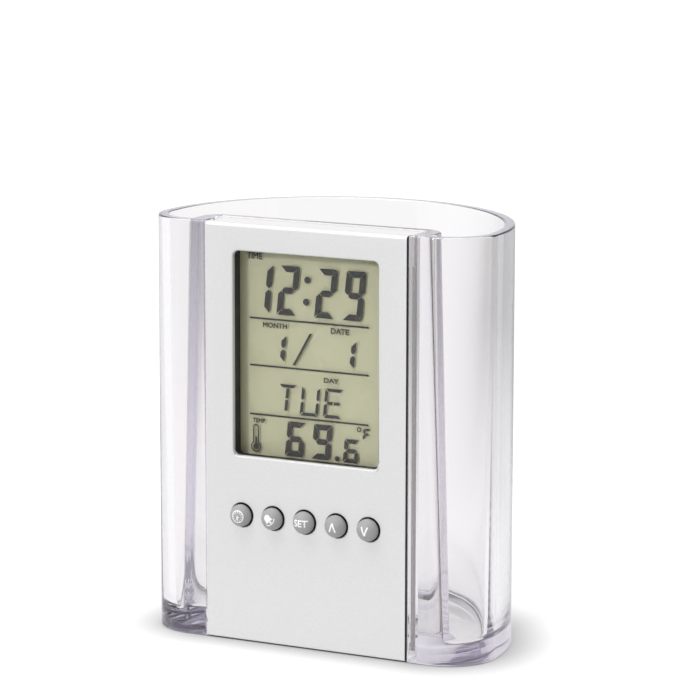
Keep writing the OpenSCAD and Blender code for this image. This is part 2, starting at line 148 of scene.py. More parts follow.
class NodeBench:
    """Places and wires the nodes of one tree, left to right."""

    STEP = 220

    def __init__(self, tree: Tree) -> None:
        """Work on a tree that holds no nodes of its own yet."""
        self.tree = tree
        self.column = 0

    def add(self, kind: str, values: dict | None = None, **settings: object) -> bpy.types.Node:
        """Add one node.

        Args:
            kind: Blender's identifier of the node type.
            values: Inputs by name or number, each a plain value or a socket to wire from.
            settings: Properties of the node itself.

        Returns:
            The new node.
        """
        node = self.tree.nodes.new(kind)
        node.location = (self.STEP * self.column, 0)
        self.column += 1
        for key, value in settings.items():
            setattr(node, key, value)
        for key, value in (values or {}).items():
            self.feed(node.inputs[key], value)
        return node

    def feed(self, socket: Socket, value: object) -> None:
        """Give a socket its value.

        Args:
            socket: The input.
            value: A socket to wire from, or a plain value.
        """
        if isinstance(value, Socket):
            self.tree.links.new(value, socket)
        else:
            socket.default_value = value

    def maths(self, operation: str, *values: object) -> Socket:
        """Return the result of a Math node fed with the values in order."""
        return self.add("ShaderNodeMath", dict(enumerate(values)), operation=operation).outputs[0]

    def scaled(self, colour: Colour, factor: Socket) -> Socket:
        """Return a colour times a factor that changes over the surface."""
        values = {"Vector": colour[:3], "Scale": factor}
        return self.add("ShaderNodeVectorMath", values, operation="SCALE").outputs["Vector"]

    def mix(self, share: Socket, low: object, high: object) -> Socket:
        """Return a number that goes from low to high with a share."""
        return self.add("ShaderNodeMix", {0: share, 2: low, 3: high}).outputs[0]

    def noise(self, place: Socket, scale: object, detail: float = 2.0, distortion: float = 0.0) -> Socket:
        """Return cloudy noise of about 0 to 1."""
        values = {"Vector": place, "Scale": scale, "Detail": detail, "Distortion": distortion}
        return self.add("ShaderNodeTexNoise", values).outputs["Fac"]

    def ranged(self, value: Socket, low: object = 0.0, high: object = 1.0, span: Point = (0.0, 1.0),
               change: str = "LINEAR") -> Socket:
        """Return a value spread between low and high.

        Args:
            value: The value to spread.
            low: Result at the start of the span.
            high: Result at its end.
            span: The values between which the result changes.
            change: Blender's name for the way from low to high.

        Returns:
            The result.
        """
        values = {"Value": value, "From Min": span[0], "From Max": span[1], "To Min": low, "To Max": high}
        return self.add("ShaderNodeMapRange", values, interpolation_type=change).outputs["Result"]

    def principled(self, values: dict) -> Socket:
        """Return a Principled shader with some of its inputs given."""
        return self.add("ShaderNodeBsdfPrincipled", values).outputs["BSDF"]

    def output(self, surface: Socket) -> bpy.types.Node:
        """Close a material with its surface."""
        return self.add("ShaderNodeOutputMaterial", {"Surface": surface})


def empty_bench(owner: bpy.types.Material | bpy.types.World) -> NodeBench:
    """Clear the nodes of a material or a world.

    Args:
        owner: The material or world.

    Returns:
        A bench on its empty tree.
    """
    owner.use_nodes = True
    owner.node_tree.nodes.clear()
    return NodeBench(owner.node_tree)


class Effect(Enum):
    """Shader effects that several finishes share, each one node group."""

    GRAIN = "moulded_grain"
    FLECK = "metal_fleck"
    HANDLING = "handling_marks"
    SURROUND = "studio_surround"

    def group(self) -> Tree:
        """Return the node group, built on first use."""
        made = bpy.data.node_groups.get(self.value)
        return made if made else EFFECT_BUILDERS[self](self.value)


def open_group(name: str, inputs: Sequence[str], outputs: Sequence[str]) -> tuple[NodeBench, dict, dict]:
    """Start a shader group that reads a Vector and some numbers and puts out numbers.

    Args:
        name: Name of the group.
        inputs: Names of the number inputs that follow Vector.
        outputs: Names of the number outputs.

    Returns:
        The bench, the input sockets by name and the output sockets by name.
    """
    tree = bpy.data.node_groups.new(name, "ShaderNodeTree")
    tree.interface.new_socket("Vector", in_out="INPUT", socket_type="NodeSocketVector")
    for label in inputs:
        tree.interface.new_socket(label, in_out="INPUT", socket_type="NodeSocketFloat")
    for label in outputs:
        tree.interface.new_socket(label, in_out="OUTPUT", socket_type="NodeSocketFloat")
    bench = NodeBench(tree)
    source = bench.add("NodeGroupInput")
    target = bench.add("NodeGroupOutput")
    return bench, dict(source.outputs.items()), dict(target.inputs.items())


def around_one(bench: NodeBench, value: Socket, strength: Socket) -> Socket:
    """Return 1 plus a value's distance from its middle times a strength."""
    spread = bench.maths("MULTIPLY", bench.maths("SUBTRACT", value, 0.5), strength)
    return bench.maths("ADD", spread, 1.0)


def build_grain(name: str) -> Tree:
    """Build the fine grain of moulded plastic: a height and a slow change of tone.

    Args:
        name: Name of the group.

    Returns:
        The group.
    """
    slowness = 0.03
    bench, given, wanted = open_group(name, ["Scale", "Mottle"], ["Height", "Tint"])
    slow_scale = bench.maths("MULTIPLY", given["Scale"], slowness)
    slow = bench.noise(given["Vector"], slow_scale, detail=3.0)
    bench.feed(wanted["Height"], bench.noise(given["Vector"], given["Scale"]))
    bench.feed(wanted["Tint"], around_one(bench, slow, given["Mottle"]))
    return bench.tree


def build_fleck(name: str) -> Tree:
    """Build the glitter of metallic paint: flakes of slightly different shine.

    Args:
        name: Name of the group.

    Returns:
        The group.
    """
    bench, given, wanted = open_group(name, ["Scale", "Strength"], ["Shine", "Height"])
    flakes = bench.add("ShaderNodeTexVoronoi", {"Vector": given["Vector"], "Scale": given["Scale"]})
    flake = bench.add("ShaderNodeSeparateColor", {"Color": flakes.outputs["Color"]})
    bench.feed(wanted["Shine"], around_one(bench, flake.outputs[0], given["Strength"]))
    bench.feed(wanted["Height"], flake.outputs[1])
    return bench.tree


def build_handling(name: str) -> Tree:
    """Build the dull patches that handling leaves: a roughness between Low and High.

    Args:
        name: Name of the group.

    Returns:
        The group.
    """
    bench, given, wanted = open_group(name, ["Scale", "Low", "High"], ["Roughness"])
    cloud = bench.noise(given["Vector"], given["Scale"], detail=4.0, distortion=0.6)
    bench.feed(wanted["Roughness"], bench.ranged(cloud, given["Low"], given["High"]))
    return bench.tree


def build_surround(name: str) -> Tree:
    """Build the studio's surround: white behind the object, above it and on its left, else dull.

    Args:
        name: Name of the group.

    Returns:
        The group.
    """
    middle = math.radians(150)
    behind_span, above_span, left_span = (0.55, 0.8), (0.65, 0.95), (-0.45, -0.95)
    soft = "SMOOTHSTEP"
    bench, given, wanted = open_group(name, ["Low"], ["Level"])
    axes = bench.add("ShaderNodeSeparateXYZ", {0: given["Vector"]}).outputs
    flat = bench.add("ShaderNodeCombineXYZ", {0: axes["X"], 1: axes["Y"], 2: 0.0}).outputs[0]
    way = bench.add("ShaderNodeVectorMath", {0: flat}, operation="NORMALIZE").outputs[0]
    side = bench.add("ShaderNodeSeparateXYZ", {0: way}).outputs["X"]
    pair = {0: way, 1: (math.cos(middle), math.sin(middle), 0.0)}
    facing = bench.add("ShaderNodeVectorMath", pair, operation="DOT_PRODUCT").outputs["Value"]
    behind = bench.ranged(facing, given["Low"], 1.0, behind_span, soft)
    above = bench.ranged(axes["Z"], 0.0, 1.0, above_span, soft)
    left = bench.ranged(side, given["Low"], 1.0, left_span, soft)
    level = bench.maths("MAXIMUM", behind, above)
    bench.feed(wanted["Level"], bench.maths("MAXIMUM", level, left))
    return bench.tree


EFFECT_BUILDERS: dict[Effect, Callable[[str], Tree]] = {
    Effect.GRAIN: build_grain,
    Effect.FLECK: build_fleck,
    Effect.HANDLING: build_handling,
    Effect.SURROUND: build_surround,
}


@dataclass(frozen=True)
class Finish:
    """One finish: its colour, mean roughness and unevenness. Subclasses say how it is made."""

    name: str
    tone: Tone
    roughness: float = 0.4
    spread: float = 0.06
    patches: float = 90.0
    relief: float = 0.1
    relief_depth: float = 0.01 * MM

    def material(self) -> bpy.types.Material:
        """Build the finish's material on first use.

        Returns:
            The material.
        """
        label = f"finish_{self.name}"
        made = bpy.data.materials.get(label)
        if made is None:
            made = bpy.data.materials.new(label)
            self.wire(empty_bench(made))
            made.diffuse_color = self.tone.linear()
        return made

    def wire(self, bench: NodeBench) -> None:
        """Wire the material's nodes."""
        raise NotImplementedError

    def effect(self, bench: NodeBench, kind: Effect, **values: float) -> dict[str, Socket]:
        """Place a shared effect on Object coordinates.

        Args:
            bench: The material's bench.
            kind: Which effect.
            values: The effect's named inputs.

        Returns:
            The effect's outputs by name.
        """
        place = bench.add("ShaderNodeTexCoord").outputs["Object"]
        node = bench.add("ShaderNodeGroup", node_tree=kind.group())
        for label, value in {"Vector": place, **values}.items():
            bench.feed(node.inputs[label], value)
        return dict(node.outputs.items())

    def worn(self, bench: NodeBench) -> Socket:
        """Return a roughness that handling has made uneven."""
        low, high = self.roughness - self.spread, self.roughness + self.spread
        return self.effect(bench, Effect.HANDLING, Scale=self.patches, Low=low, High=high)["Roughness"]

    def uneven(self, bench: NodeBench, value: Socket) -> Socket:
        """Return a roughness that follows a value of 0 to 1."""
        return bench.ranged(value, self.roughness - self.spread, self.roughness + self.spread)

    def bump(self, bench: NodeBench, height: Socket) -> Socket:
        """Return a normal roughened by a height of 0 to 1."""
        values = {"Strength": self.relief, "Distance": self.relief_depth, "Height": height}
        return bench.add("ShaderNodeBump", values).outputs["Normal"]


@dataclass(frozen=True)
class MouldedPlastic(Finish):
    """Moulded plastic or rubber with a fine spark-eroded grain."""

    relief: float = 0.25
    relief_depth: float = 0.02 * MM
    grain: float = 2600.0
    mottle: float = 0.05

    def wire(self, bench: NodeBench) -> None:
        """Wire grain, slow tone changes and handled patches into one Principled shader.

        Args:
            bench: The material's bench.
        """
        grain = self.effect(bench, Effect.GRAIN, Scale=self.grain, Mottle=self.mottle)
        bench.output(bench.principled({
            "Base Color": bench.scaled(self.tone.linear(), grain["Tint"]),
            "Roughness": self.worn(bench),
            "Normal": self.bump(bench, grain["Height"]),
        }))


@dataclass(frozen=True)
class MetallicPaint(Finish):
    """Silver lacquer on plastic: a pale base with fine bright flakes."""

    spread: float = 0.05
    patches: float = 40.0
    relief: float = 0.12
    fleck: float = 5200.0
    sparkle: float = 0.07
    metallic: float = 0.1

    def wire(self, bench: NodeBench) -> None:
        """Wire flakes into the colour and the normal, and soft handling into the roughness.

        Args:
            bench: The material's bench.
        """
        fleck = self.effect(bench, Effect.FLECK, Scale=self.fleck, Strength=self.sparkle)
        bench.output(bench.principled({
            "Base Color": bench.scaled(self.tone.linear(), fleck["Shine"]),
            "Metallic": self.metallic,
            "Roughness": self.worn(bench),
            "Normal": self.bump(bench, fleck["Height"]),
        }))


@dataclass(frozen=True)
class BrightMetal(Finish):
    """Plated or rolled metal with fine drawn lines."""

    spread: float = 0.08
    lines: float = 900.0
    stretch: tuple[float, float, float] = (1.0, 1.0, 0.08)
    shades: Point = (0.9, 1.05)

    def wire(self, bench: NodeBench) -> None:
        """Wire stretched noise into the colour, the roughness and the normal.

        Args:
            bench: The material's bench.
        """
        place = bench.add("ShaderNodeTexCoord").outputs["Object"]
        drawn = bench.add("ShaderNodeMapping", {"Vector": place, "Scale": self.stretch})
        lines = bench.noise(drawn.outputs["Vector"], self.lines)
        bench.output(bench.principled({
            "Base Color": bench.scaled(self.tone.linear(), bench.ranged(lines, *self.shades)),
            "Metallic": 1.0,
            "Roughness": self.uneven(bench, lines),
            "Normal": self.bump(bench, lines),
        }))


@dataclass(frozen=True)
class ClearAcrylic(Finish):
    """Clear moulded plastic that bends light and tints it slightly where it is thick."""

    patches: float = 25.0
    depth_tone: Tone = Tone.EDGE_VIOLET
    density: float = 7.5
    ior: float = 1.49
    shade: float = 0.95

    def wire(self, bench: NodeBench) -> None:
        """Wire the clear body. Lamps and bounced light pass straight through it.

        Args:
            bench: The material's bench.
        """
        rough = self.effect(bench, Effect.HANDLING, Scale=self.patches, Low=0.0, High=self.roughness)
        clear = bench.principled({
            "Base Color": self.tone.linear(),
            "Roughness": rough["Roughness"],
            "IOR": self.ior,
            "Transmission Weight": 1.0,
        })
        shade = (self.shade, self.shade, self.shade, 1.0)
        passing = bench.add("ShaderNodeBsdfTransparent", {"Color": shade}).outputs[0]
        ray = bench.add("ShaderNodeLightPath").outputs
        light_only = bench.maths("MAXIMUM", ray["Is Shadow Ray"], ray["Is Diffuse Ray"])
        mixed = bench.add("ShaderNodeMixShader", {0: light_only, 1: clear, 2: passing})
        depth = {"Color": self.depth_tone.linear(), "Density": self.density}
        tint = bench.add("ShaderNodeVolumeAbsorption", depth)
        out = bench.output(mixed.outputs["Shader"])
        bench.feed(out.inputs["Volume"], tint.outputs["Volume"])


@dataclass(frozen=True)
class DisplayFilm(Finish):
    """Thin clear layer of the display: it shows what is behind it, with a soft sheen."""

    spread: float = 0.05
    patches: float = 60.0
    alpha: float = 0.1

    def wire(self, bench: NodeBench) -> None:
        """Wire a nearly clear shader with a matt front.

        Args:
            bench: The material's bench.
        """
        bench.output(bench.principled({
            "Base Color": self.tone.linear(),
            "Roughness": self.worn(bench),
            "Alpha": self.alpha,
        }))


@dataclass(frozen=True)
class BandedFinish(Finish):
    """Two tones in bands across x, as in the layers of a contact strip or the tracks of a board."""

    spread: float = 0.1
    relief: float = 0.2
    second: Tone = Tone.BLACK
    bands: float = 1500.0
    wander: float = 0.0
    change: Point = (0.45, 0.55)

    def wire(self, bench: NodeBench) -> None:
        """Wire a wave between the two tones.

        Args:
            bench: The material's bench.
        """
        place = bench.add("ShaderNodeTexCoord").outputs["Object"]
        values = {"Vector": place, "Scale": self.bands, "Distortion": self.wander, "Detail": 1.0}
        wave = bench.add("ShaderNodeTexWave", values, bands_direction="X").outputs["Fac"]
        ramp = bench.add("ShaderNodeValToRGB", {"Fac": wave})
        for stop, share, tone in zip(ramp.color_ramp.elements, self.change, (self.tone, self.second)):
            stop.position = share
            stop.color = tone.linear()
        bench.output(bench.principled({
            "Base Color": ramp.outputs["Color"],
            "Roughness": self.uneven(bench, wave),
            "Normal": self.bump(bench, wave),
        }))


@dataclass(frozen=True)
class Palette:
    """Every finish of the object."""

    cup: Finish = ClearAcrylic("clear_acrylic", Tone.CLEAR, 0.012)
    silver: Finish = MetallicPaint("silver_paint", Tone.SILVER, 0.42)
    shell: Finish = MouldedPlastic("shell_plastic", Tone.SHELL_GREY, 0.5)
    door: Finish = MouldedPlastic("door_plastic", Tone.DOOR_GREY, 0.5)
    # Black plastic of the chip blob and the thermistor, and also painted shade: black on the window walls,
    # the shell's sides and the button skirts.
    black: Finish = MouldedPlastic("black_plastic", Tone.BLACK, 0.5)
    bezel: Finish = MouldedPlastic("bezel_plastic", Tone.BEZEL, 0.55)
    reflector: Finish = MouldedPlastic("display_reflector", Tone.DISPLAY_OLIVE, 0.6, grain=4200.0,
                                       mottle=0.04)
    polariser: Finish = DisplayFilm("display_polariser", Tone.DISPLAY_FILM, 0.4, alpha=0.02)
    glass: Finish = DisplayFilm("display_glass", Tone.DISPLAY_FILM, 0.2, alpha=0.008)
    figures: Finish = MouldedPlastic("display_figures", Tone.DISPLAY_DARK, 0.6, mottle=0.1)
    button: Finish = MouldedPlastic("button_plastic", Tone.BUTTON_GREY, 0.6, grain=3000.0)
    mark: Finish = MouldedPlastic("button_print", Tone.PRINT_WHITE, 0.5, mottle=0.02)
    rubber: Finish = MouldedPlastic("silicone_rubber", Tone.RUBBER_GREY, 0.6)
    strips: Finish = BandedFinish("contact_strips", Tone.STRIP_PINK, 0.6)
    board: Finish = BandedFinish("circuit_laminate", Tone.BOARD_GREEN, 0.4, second=Tone.BOARD_COPPER,
                                 bands=70.0, wander=6.0)
    parts: Finish = MouldedPlastic("board_parts", Tone.PART_TAN, 0.45)
    steel: Finish = BrightMetal("plated_steel", Tone.STEEL, 0.3)
    brass: Finish = BrightMetal("spring_brass", Tone.BRASS, 0.3)
    ceramic: Finish = MouldedPlastic("buzzer_ceramic", Tone.CERAMIC, 0.5)
    lead: Finish = MouldedPlastic("lead_sleeve", Tone.LEAD_RED, 0.45)


FINISHES = Palette()


def arc(centre: Point, radius: float, start: float, end: float, steps: int) -> Outline:
    """Return points along an arc.

    Args:
        centre: Centre of the arc.
        radius: Its radius.
        start: First angle in degrees.
        end: Last angle in degrees.
        steps: Number of chords.

    Returns:
        The points, both ends included.
    """
    angles = [math.radians(start + (end - start) * i / steps) for i in range(steps + 1)]
    return [(centre[0] + radius * math.cos(a), centre[1] + radius * math.sin(a)) for a in angles]


def bar(start: Point, end: Point, width: float) -> Outline:
    """Return a straight stroke.

    Args:
        start: Middle of its first end.
        end: Middle of its other end.
        width: Its width.

    Returns:
        The four corners.
    """
    along = Vector((end[0] - start[0], end[1] - start[1])).normalized()
    side = Vector((-along.y, along.x)) * width / 2
    corners = [Vector(start) + side, Vector(start) - side, Vector(end) - side, Vector(end) + side]
    return [(corner.x, corner.y) for corner in corners]


def band(outer: Outline, inner: Outline) -> list[Outline]:
    """Return the quads between two lines of equally many points."""
    pairs = list(zip(outer, inner))
    return [[a, b, d, c] for (a, c), (b, d) in zip(pairs, pairs[1:])]


def turned(outline: Outline, degrees: float) -> Outline:
    """Return an outline turned about the origin."""
    c, s = math.cos(math.radians(degrees)), math.sin(math.radians(degrees))
    return [(c * x - s * y, s * x + c * y) for x, y in outline]


def between(low: float, high: float, share: float) -> float:
    """Return the number that lies a share of the way from low to high."""
    return low + (high - low) * share


def middle_of(low: Vector, high: Vector) -> Point:
    """Return the middle of a box in x and z."""
    return (low.x + high.x) / 2, (low.z + high.z) / 2


def new_piece(name: str, mesh: Mesh) -> Piece:
    """Put a mesh in the scene as an object at the origin.

    Args:
        name: Name of the object.
        mesh: Its mesh.

    Returns:
        The new object.
    """
    piece = bpy.data.objects.new(name, mesh)
    bpy.context.scene.collection.objects.link(piece)
    return piece


def finish_mesh(name: str, shape: Shape) -> Mesh:
    """Turn a shape into a mesh and free it.

    Args:
        name: Name of the mesh.
        shape: The shape.

    Returns:
        The new mesh.
    """
    mesh = bpy.data.meshes.new(name)
    shape.to_mesh(mesh)
    shape.free()
    return mesh


@contextmanager
def editing(mesh: Mesh) -> Iterator[Shape]:
    """Open a mesh as a shape, and write it back at the end.

    Args:
        mesh: The mesh.

    Yields:
        The shape to edit.
    """
    shape = bmesh.new()
    shape.from_mesh(mesh)
    yield shape
    shape.to_mesh(mesh)
    shape.free()


def solid_from(name: str, rings: Sequence[Sequence[Vector]]) -> Piece:
    """Make a closed solid through rings of equally many points, with flat ends.

    Args:
        name: Name of the object.
        rings: The rings from one end to the other.

    Returns:
        The new object, its faces outwards.
    """
    shape = bmesh.new()
    loops = [[shape.verts.new(point) for point in ring] for ring in rings]
    count = len(loops[0])
    for low, high in zip(loops, loops[1:]):
        for i in range(count):
            j = (i + 1) % count
            shape.faces.new((low[i], low[j], high[j], high[i]))
    shape.faces.new(list(reversed(loops[0])))
    shape.faces.new(loops[-1])
    bmesh.ops.recalc_face_normals(shape, faces=shape.faces)
    return new_piece(name, finish_mesh(name, shape))


def clean(mesh: Mesh) -> None:
    """Merge a mesh's double points, drop what has no area and turn its faces outwards.

    Args:
        mesh: The mesh.
    """
    with editing(mesh) as shape:
        bmesh.ops.remove_doubles(shape, verts=shape.verts, dist=MERGE)
        bmesh.ops.dissolve_degenerate(shape, edges=shape.edges, dist=MERGE)
        loose = [edge for edge in shape.edges if not edge.link_faces]
        bmesh.ops.delete(shape, geom=loose, context="EDGES")
        bmesh.ops.recalc_face_normals(shape, faces=shape.faces)


def bake(piece: Piece) -> Piece:
    """Replace a piece's mesh by what its modifiers make of it, and drop the modifiers.

    Args:
        piece: The piece.

    Returns:
        The same piece.
    """
    graph = bpy.context.evaluated_depsgraph_get()
    graph.update()
    mesh = bpy.data.meshes.new_from_object(piece.evaluated_get(graph), depsgraph=graph)
    mesh.name = piece.name
    piece.modifiers.clear()
    piece.data = mesh
    return piece


def cut(piece: Piece, *tools: Piece) -> Piece:
    """Cut tools out of a piece one after the other and remove them.

    Args:
        piece: The piece.
        tools: The tools, closed solids.

    Returns:
        The same piece.
    """
    for tool in tools:
        cutter = piece.modifiers.new("cut", "BOOLEAN")
        cutter.operation = "DIFFERENCE"
        cutter.solver = "EXACT"
        cutter.object = tool
        bake(piece)
        bpy.data.objects.remove(tool)
    return piece


def smooth(piece: Piece) -> Piece:
    """Shade a piece smoothly except at its sharp edges.

    Args:
        piece: The piece.

    Returns:
        The same piece.
    """
    mesh = piece.data
    mesh.polygons.foreach_set("use_smooth", [True] * len(mesh.polygons))
    mesh.set_sharp_from_angle(angle=SHARP)
    return piece


def is_sharp(edge: Edge) -> bool:
    """Tell whether two faces meet at an edge with more than the sharp angle."""
    return len(edge.link_faces) == 2 and edge.calc_face_angle(0.0) > SHARP


def sharp_weight(edge: Edge) -> float:
    """Give every sharp edge a full rounding."""
    return 1.0 if is_sharp(edge) else 0.0


def round_edges(piece: Piece, width: float, weight: Callable[[Edge], float] = sharp_weight,
                segments: int = 3, clamp: bool = True) -> Piece:
    """Round chosen edges of a piece.

    Args:
        piece: The piece, a plain mesh.
        width: Width of the rounding at weight 1.
        weight: Gives the weight of an edge, 0 to leave it sharp.
        segments: Facets across a rounding.
        clamp: Whether every rounding shrinks to what the tightest corner allows.

    Returns:
        The same piece.
    """
    smooth(piece)
    with editing(piece.data) as shape:
        layer = shape.edges.layers.float.new("bevel_weight_edge")
        for edge in shape.edges:
            edge[layer] = weight(edge)
    rounding = piece.modifiers.new("rounding", "BEVEL")
    rounding.width = width
    rounding.segments = segments
    rounding.limit_method = "WEIGHT"
    rounding.harden_normals = True
    rounding.use_clamp_overlap = clamp
    return bake(piece)


def node_copy(name: str, node: str) -> Piece:
    """Copy a CAD node's mesh as a piece with merged points and whole flat faces.

    Args:
        name: Name of the new piece.
        node: The CAD node.

    Returns:
        The copy, at the origin.
    """
    flat = math.radians(0.5)
    shape = bmesh.new()
    shape.from_mesh(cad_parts[node].data)
    bmesh.ops.remove_doubles(shape, verts=shape.verts, dist=MERGE)
    bmesh.ops.dissolve_limit(shape, angle_limit=flat, verts=shape.verts, edges=shape.edges)
    for edge in shape.edges:
        edge.smooth = True
    return new_piece(name, finish_mesh(name, shape))


def solid_centres(node: str) -> list[Vector]:
    """Find the separate solids of a CAD node.

    Args:
        node: The CAD node.

    Returns:
        The centre of each solid's box, from the lowest up.
    """
    shape = bmesh.new()
    shape.from_mesh(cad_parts[node].data)
    bmesh.ops.remove_doubles(shape, verts=shape.verts, dist=MERGE)
    left = set(shape.verts)
    centres = []
    while left:
        group, queue = [], [left.pop()]
        while queue:
            vert = queue.pop()
            group.append(vert.co.copy())
            linked = {edge.other_vert(vert) for edge in vert.link_edges} & left
            left -= linked
            queue.extend(linked)
        lows = [min(point[axis] for point in group) for axis in range(3)]
        highs = [max(point[axis] for point in group) for axis in range(3)]
        centres.append((Vector(lows) + Vector(highs)) / 2)
    shape.free()
    return sorted(centres, key=lambda centre: (round(centre.z, 5), centre.x))


def join_into(piece: Piece, *others: Piece) -> None:
    """Add the meshes of other pieces to a piece and remove them.

    Args:
        piece: The piece that grows.
        others: The pieces that it takes up.
    """
    with editing(piece.data) as shape:
        for other in others:
            shape.from_mesh(other.data)
            bpy.data.objects.remove(other)


def give(piece: Piece, finish: Finish) -> None:
    """Make a finish the only material of a new piece."""
    piece.data.materials.clear()
    piece.data.materials.append(finish.material())


def paint_shade_behind(piece: Piece, depth: float, chosen: Callable[[Face], bool]) -> None:
    """Paint shade black on a piece: black as its second material, for chosen faces behind a depth.

    Args:
        piece: The piece, with one material so far.
        depth: The y at which chosen faces are split.
        chosen: Tells which faces may turn black.
    """
    piece.data.materials.append(FINISHES.black.material())
    with editing(piece.data) as shape:
        faces = [face for face in shape.faces if chosen(face)]
        edges = dict.fromkeys(edge for face in faces for edge in face.edges)
        verts = dict.fromkeys(vert for face in faces for vert in face.verts)
        parts = [*verts, *edges, *faces]
        bmesh.ops.bisect_plane(shape, geom=parts, plane_co=(0, depth, 0), plane_no=(0, 1, 0))
        for face in shape.faces:
            if chosen(face) and face.calc_center_median().y > depth:
                face.material_index = 1


def settle(piece: Piece, body: str, slot: str, *nodes: str) -> None:
    """Tie a finished piece to its body and hide the nodes that it stands for.

    Args:
        piece: The piece.
        body: Name of the body that it rides on.
        slot: The record's material slot; not used.
        nodes: CAD nodes that it replaces, if any.
    """
    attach(piece, body)
    if nodes:
        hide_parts(*nodes)
    LOG.info("%s: %d faces on %s", piece.name, len(piece.data.polygons), body)


def dress(node: str, finish: Finish) -> None:
    """Give a CAD node, whose shape stays, its finish.

    Args:
        node: The CAD node.
        finish: Its finish.
    """
    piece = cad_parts[node]
    if not piece.material_slots:
        piece.data.materials.append(finish.material())
    for slot in piece.material_slots:
        slot.material = finish.material()
    LOG.info("%s: %s", node, finish.name)


def swell(shape: Shape, reach: float) -> None:
    """Move the outline of a flat shape in x and y outwards.

    Args:
        shape: The flat shape.
        reach: How far its outline moves.
    """
    least_lean = 0.5
    upright = Vector((0.0, 0.0, 1.0))
    moves: dict[bmesh.types.BMVert, Vector] = {}
    for vert in shape.verts:
        ways = []
        for edge in vert.link_edges:
            if edge.is_boundary:
                start, end = (corner.co for corner in edge.verts)
                way = (end - start).cross(upright).normalized()
                inside = edge.link_faces[0].calc_center_median()
                ways.append(way if way.dot(start - inside) > 0 else -way)
        if ways:
            mean = sum(ways, Vector()).normalized()
            moves[vert] = mean * reach / max(mean.dot(ways[0]), least_lean)
    for vert, move in moves.items():
        vert.co += move


def letters(name: str, words: str, height: float, weight: float) -> Mesh:
    """Return plain capital letters as a flat mesh in x and y, centred on the origin.

    Args:
        name: Name of the mesh.
        words: The letters.
        height: Height of the capitals.
        weight: How far the strokes grow, as a share of the letter size.

    Returns:
        The filled mesh.
    """
    capital_share = 0.7
    speck = 0.01 * MM
    curve = bpy.data.curves.new(name, "FONT")
    curve.body = words
    curve.size = height / capital_share
    curve.align_x = "CENTER"
    curve.align_y = "CENTER"
    text = new_piece(name, curve)
    graph = bpy.context.evaluated_depsgraph_get()
    mesh = bpy.data.meshes.new_from_object(text.evaluated_get(graph), depsgraph=graph)
    bpy.data.objects.remove(text)
    with editing(mesh) as shape:
        bmesh.ops.remove_doubles(shape, verts=shape.verts, dist=speck)
        swell(shape, weight * height / capital_share)
        inner = [edge for edge in shape.edges if not edge.is_boundary]
        bmesh.ops.dissolve_edges(shape, edges=inner)
        bmesh.ops.triangulate(shape, faces=shape.faces, quad_method="BEAUTY", ngon_method="BEAUTY")
    return mesh


def fine_fill(outlines: Iterable[Outline], mesh: Mesh | None, reach: float) -> Shape:
    """Fill outlines and take in a flat mesh, then split every edge longer than a reach.

    Args:
        outlines: Closed outlines in x and y.
        mesh: A flat mesh to add, if any.
        reach: Longest edge that may stay.

    Returns:
        The flat triangles.
    """
    most_passes = 8
    shape = bmesh.new()
    if mesh is not None:
        shape.from_mesh(mesh)
    for outline in outlines:
        shape.faces.new([shape.verts.new((x, y, 0.0)) for x, y in outline])
    bmesh.ops.remove_doubles(shape, verts=shape.verts, dist=FINE_MERGE)
    bmesh.ops.triangulate(shape, faces=shape.faces)
    for _ in range(most_passes):
        long = [edge for edge in shape.edges if edge.calc_length() > reach]
        if not long:
            break
        bmesh.ops.subdivide_edges(shape, edges=long, cuts=1)
        bmesh.ops.triangulate(shape, faces=shape.faces, quad_method="SHORT_EDGE", ngon_method="BEAUTY")
    return shape


def thin_print(name: str, shape: Shape, thickness: float, finish: Finish) -> Piece:
    """Turn a sheet that faces the front or the back into a thin closed piece.

    Args:
        name: Name of the piece.
        shape: The sheet, which is freed.
        thickness: How thick the piece becomes, towards the back.
        finish: Its finish.

    Returns:
        The piece.
    """
    for face in shape.faces:
        face.normal_update()
        if face.normal.y > 0:
            face.normal_flip()
    bmesh.ops.solidify(shape, geom=list(shape.faces), thickness=thickness)
    bmesh.ops.recalc_face_normals(shape, faces=shape.faces)
    piece = new_piece(name, finish_mesh(name, shape))
    give(piece, finish)
    return piece


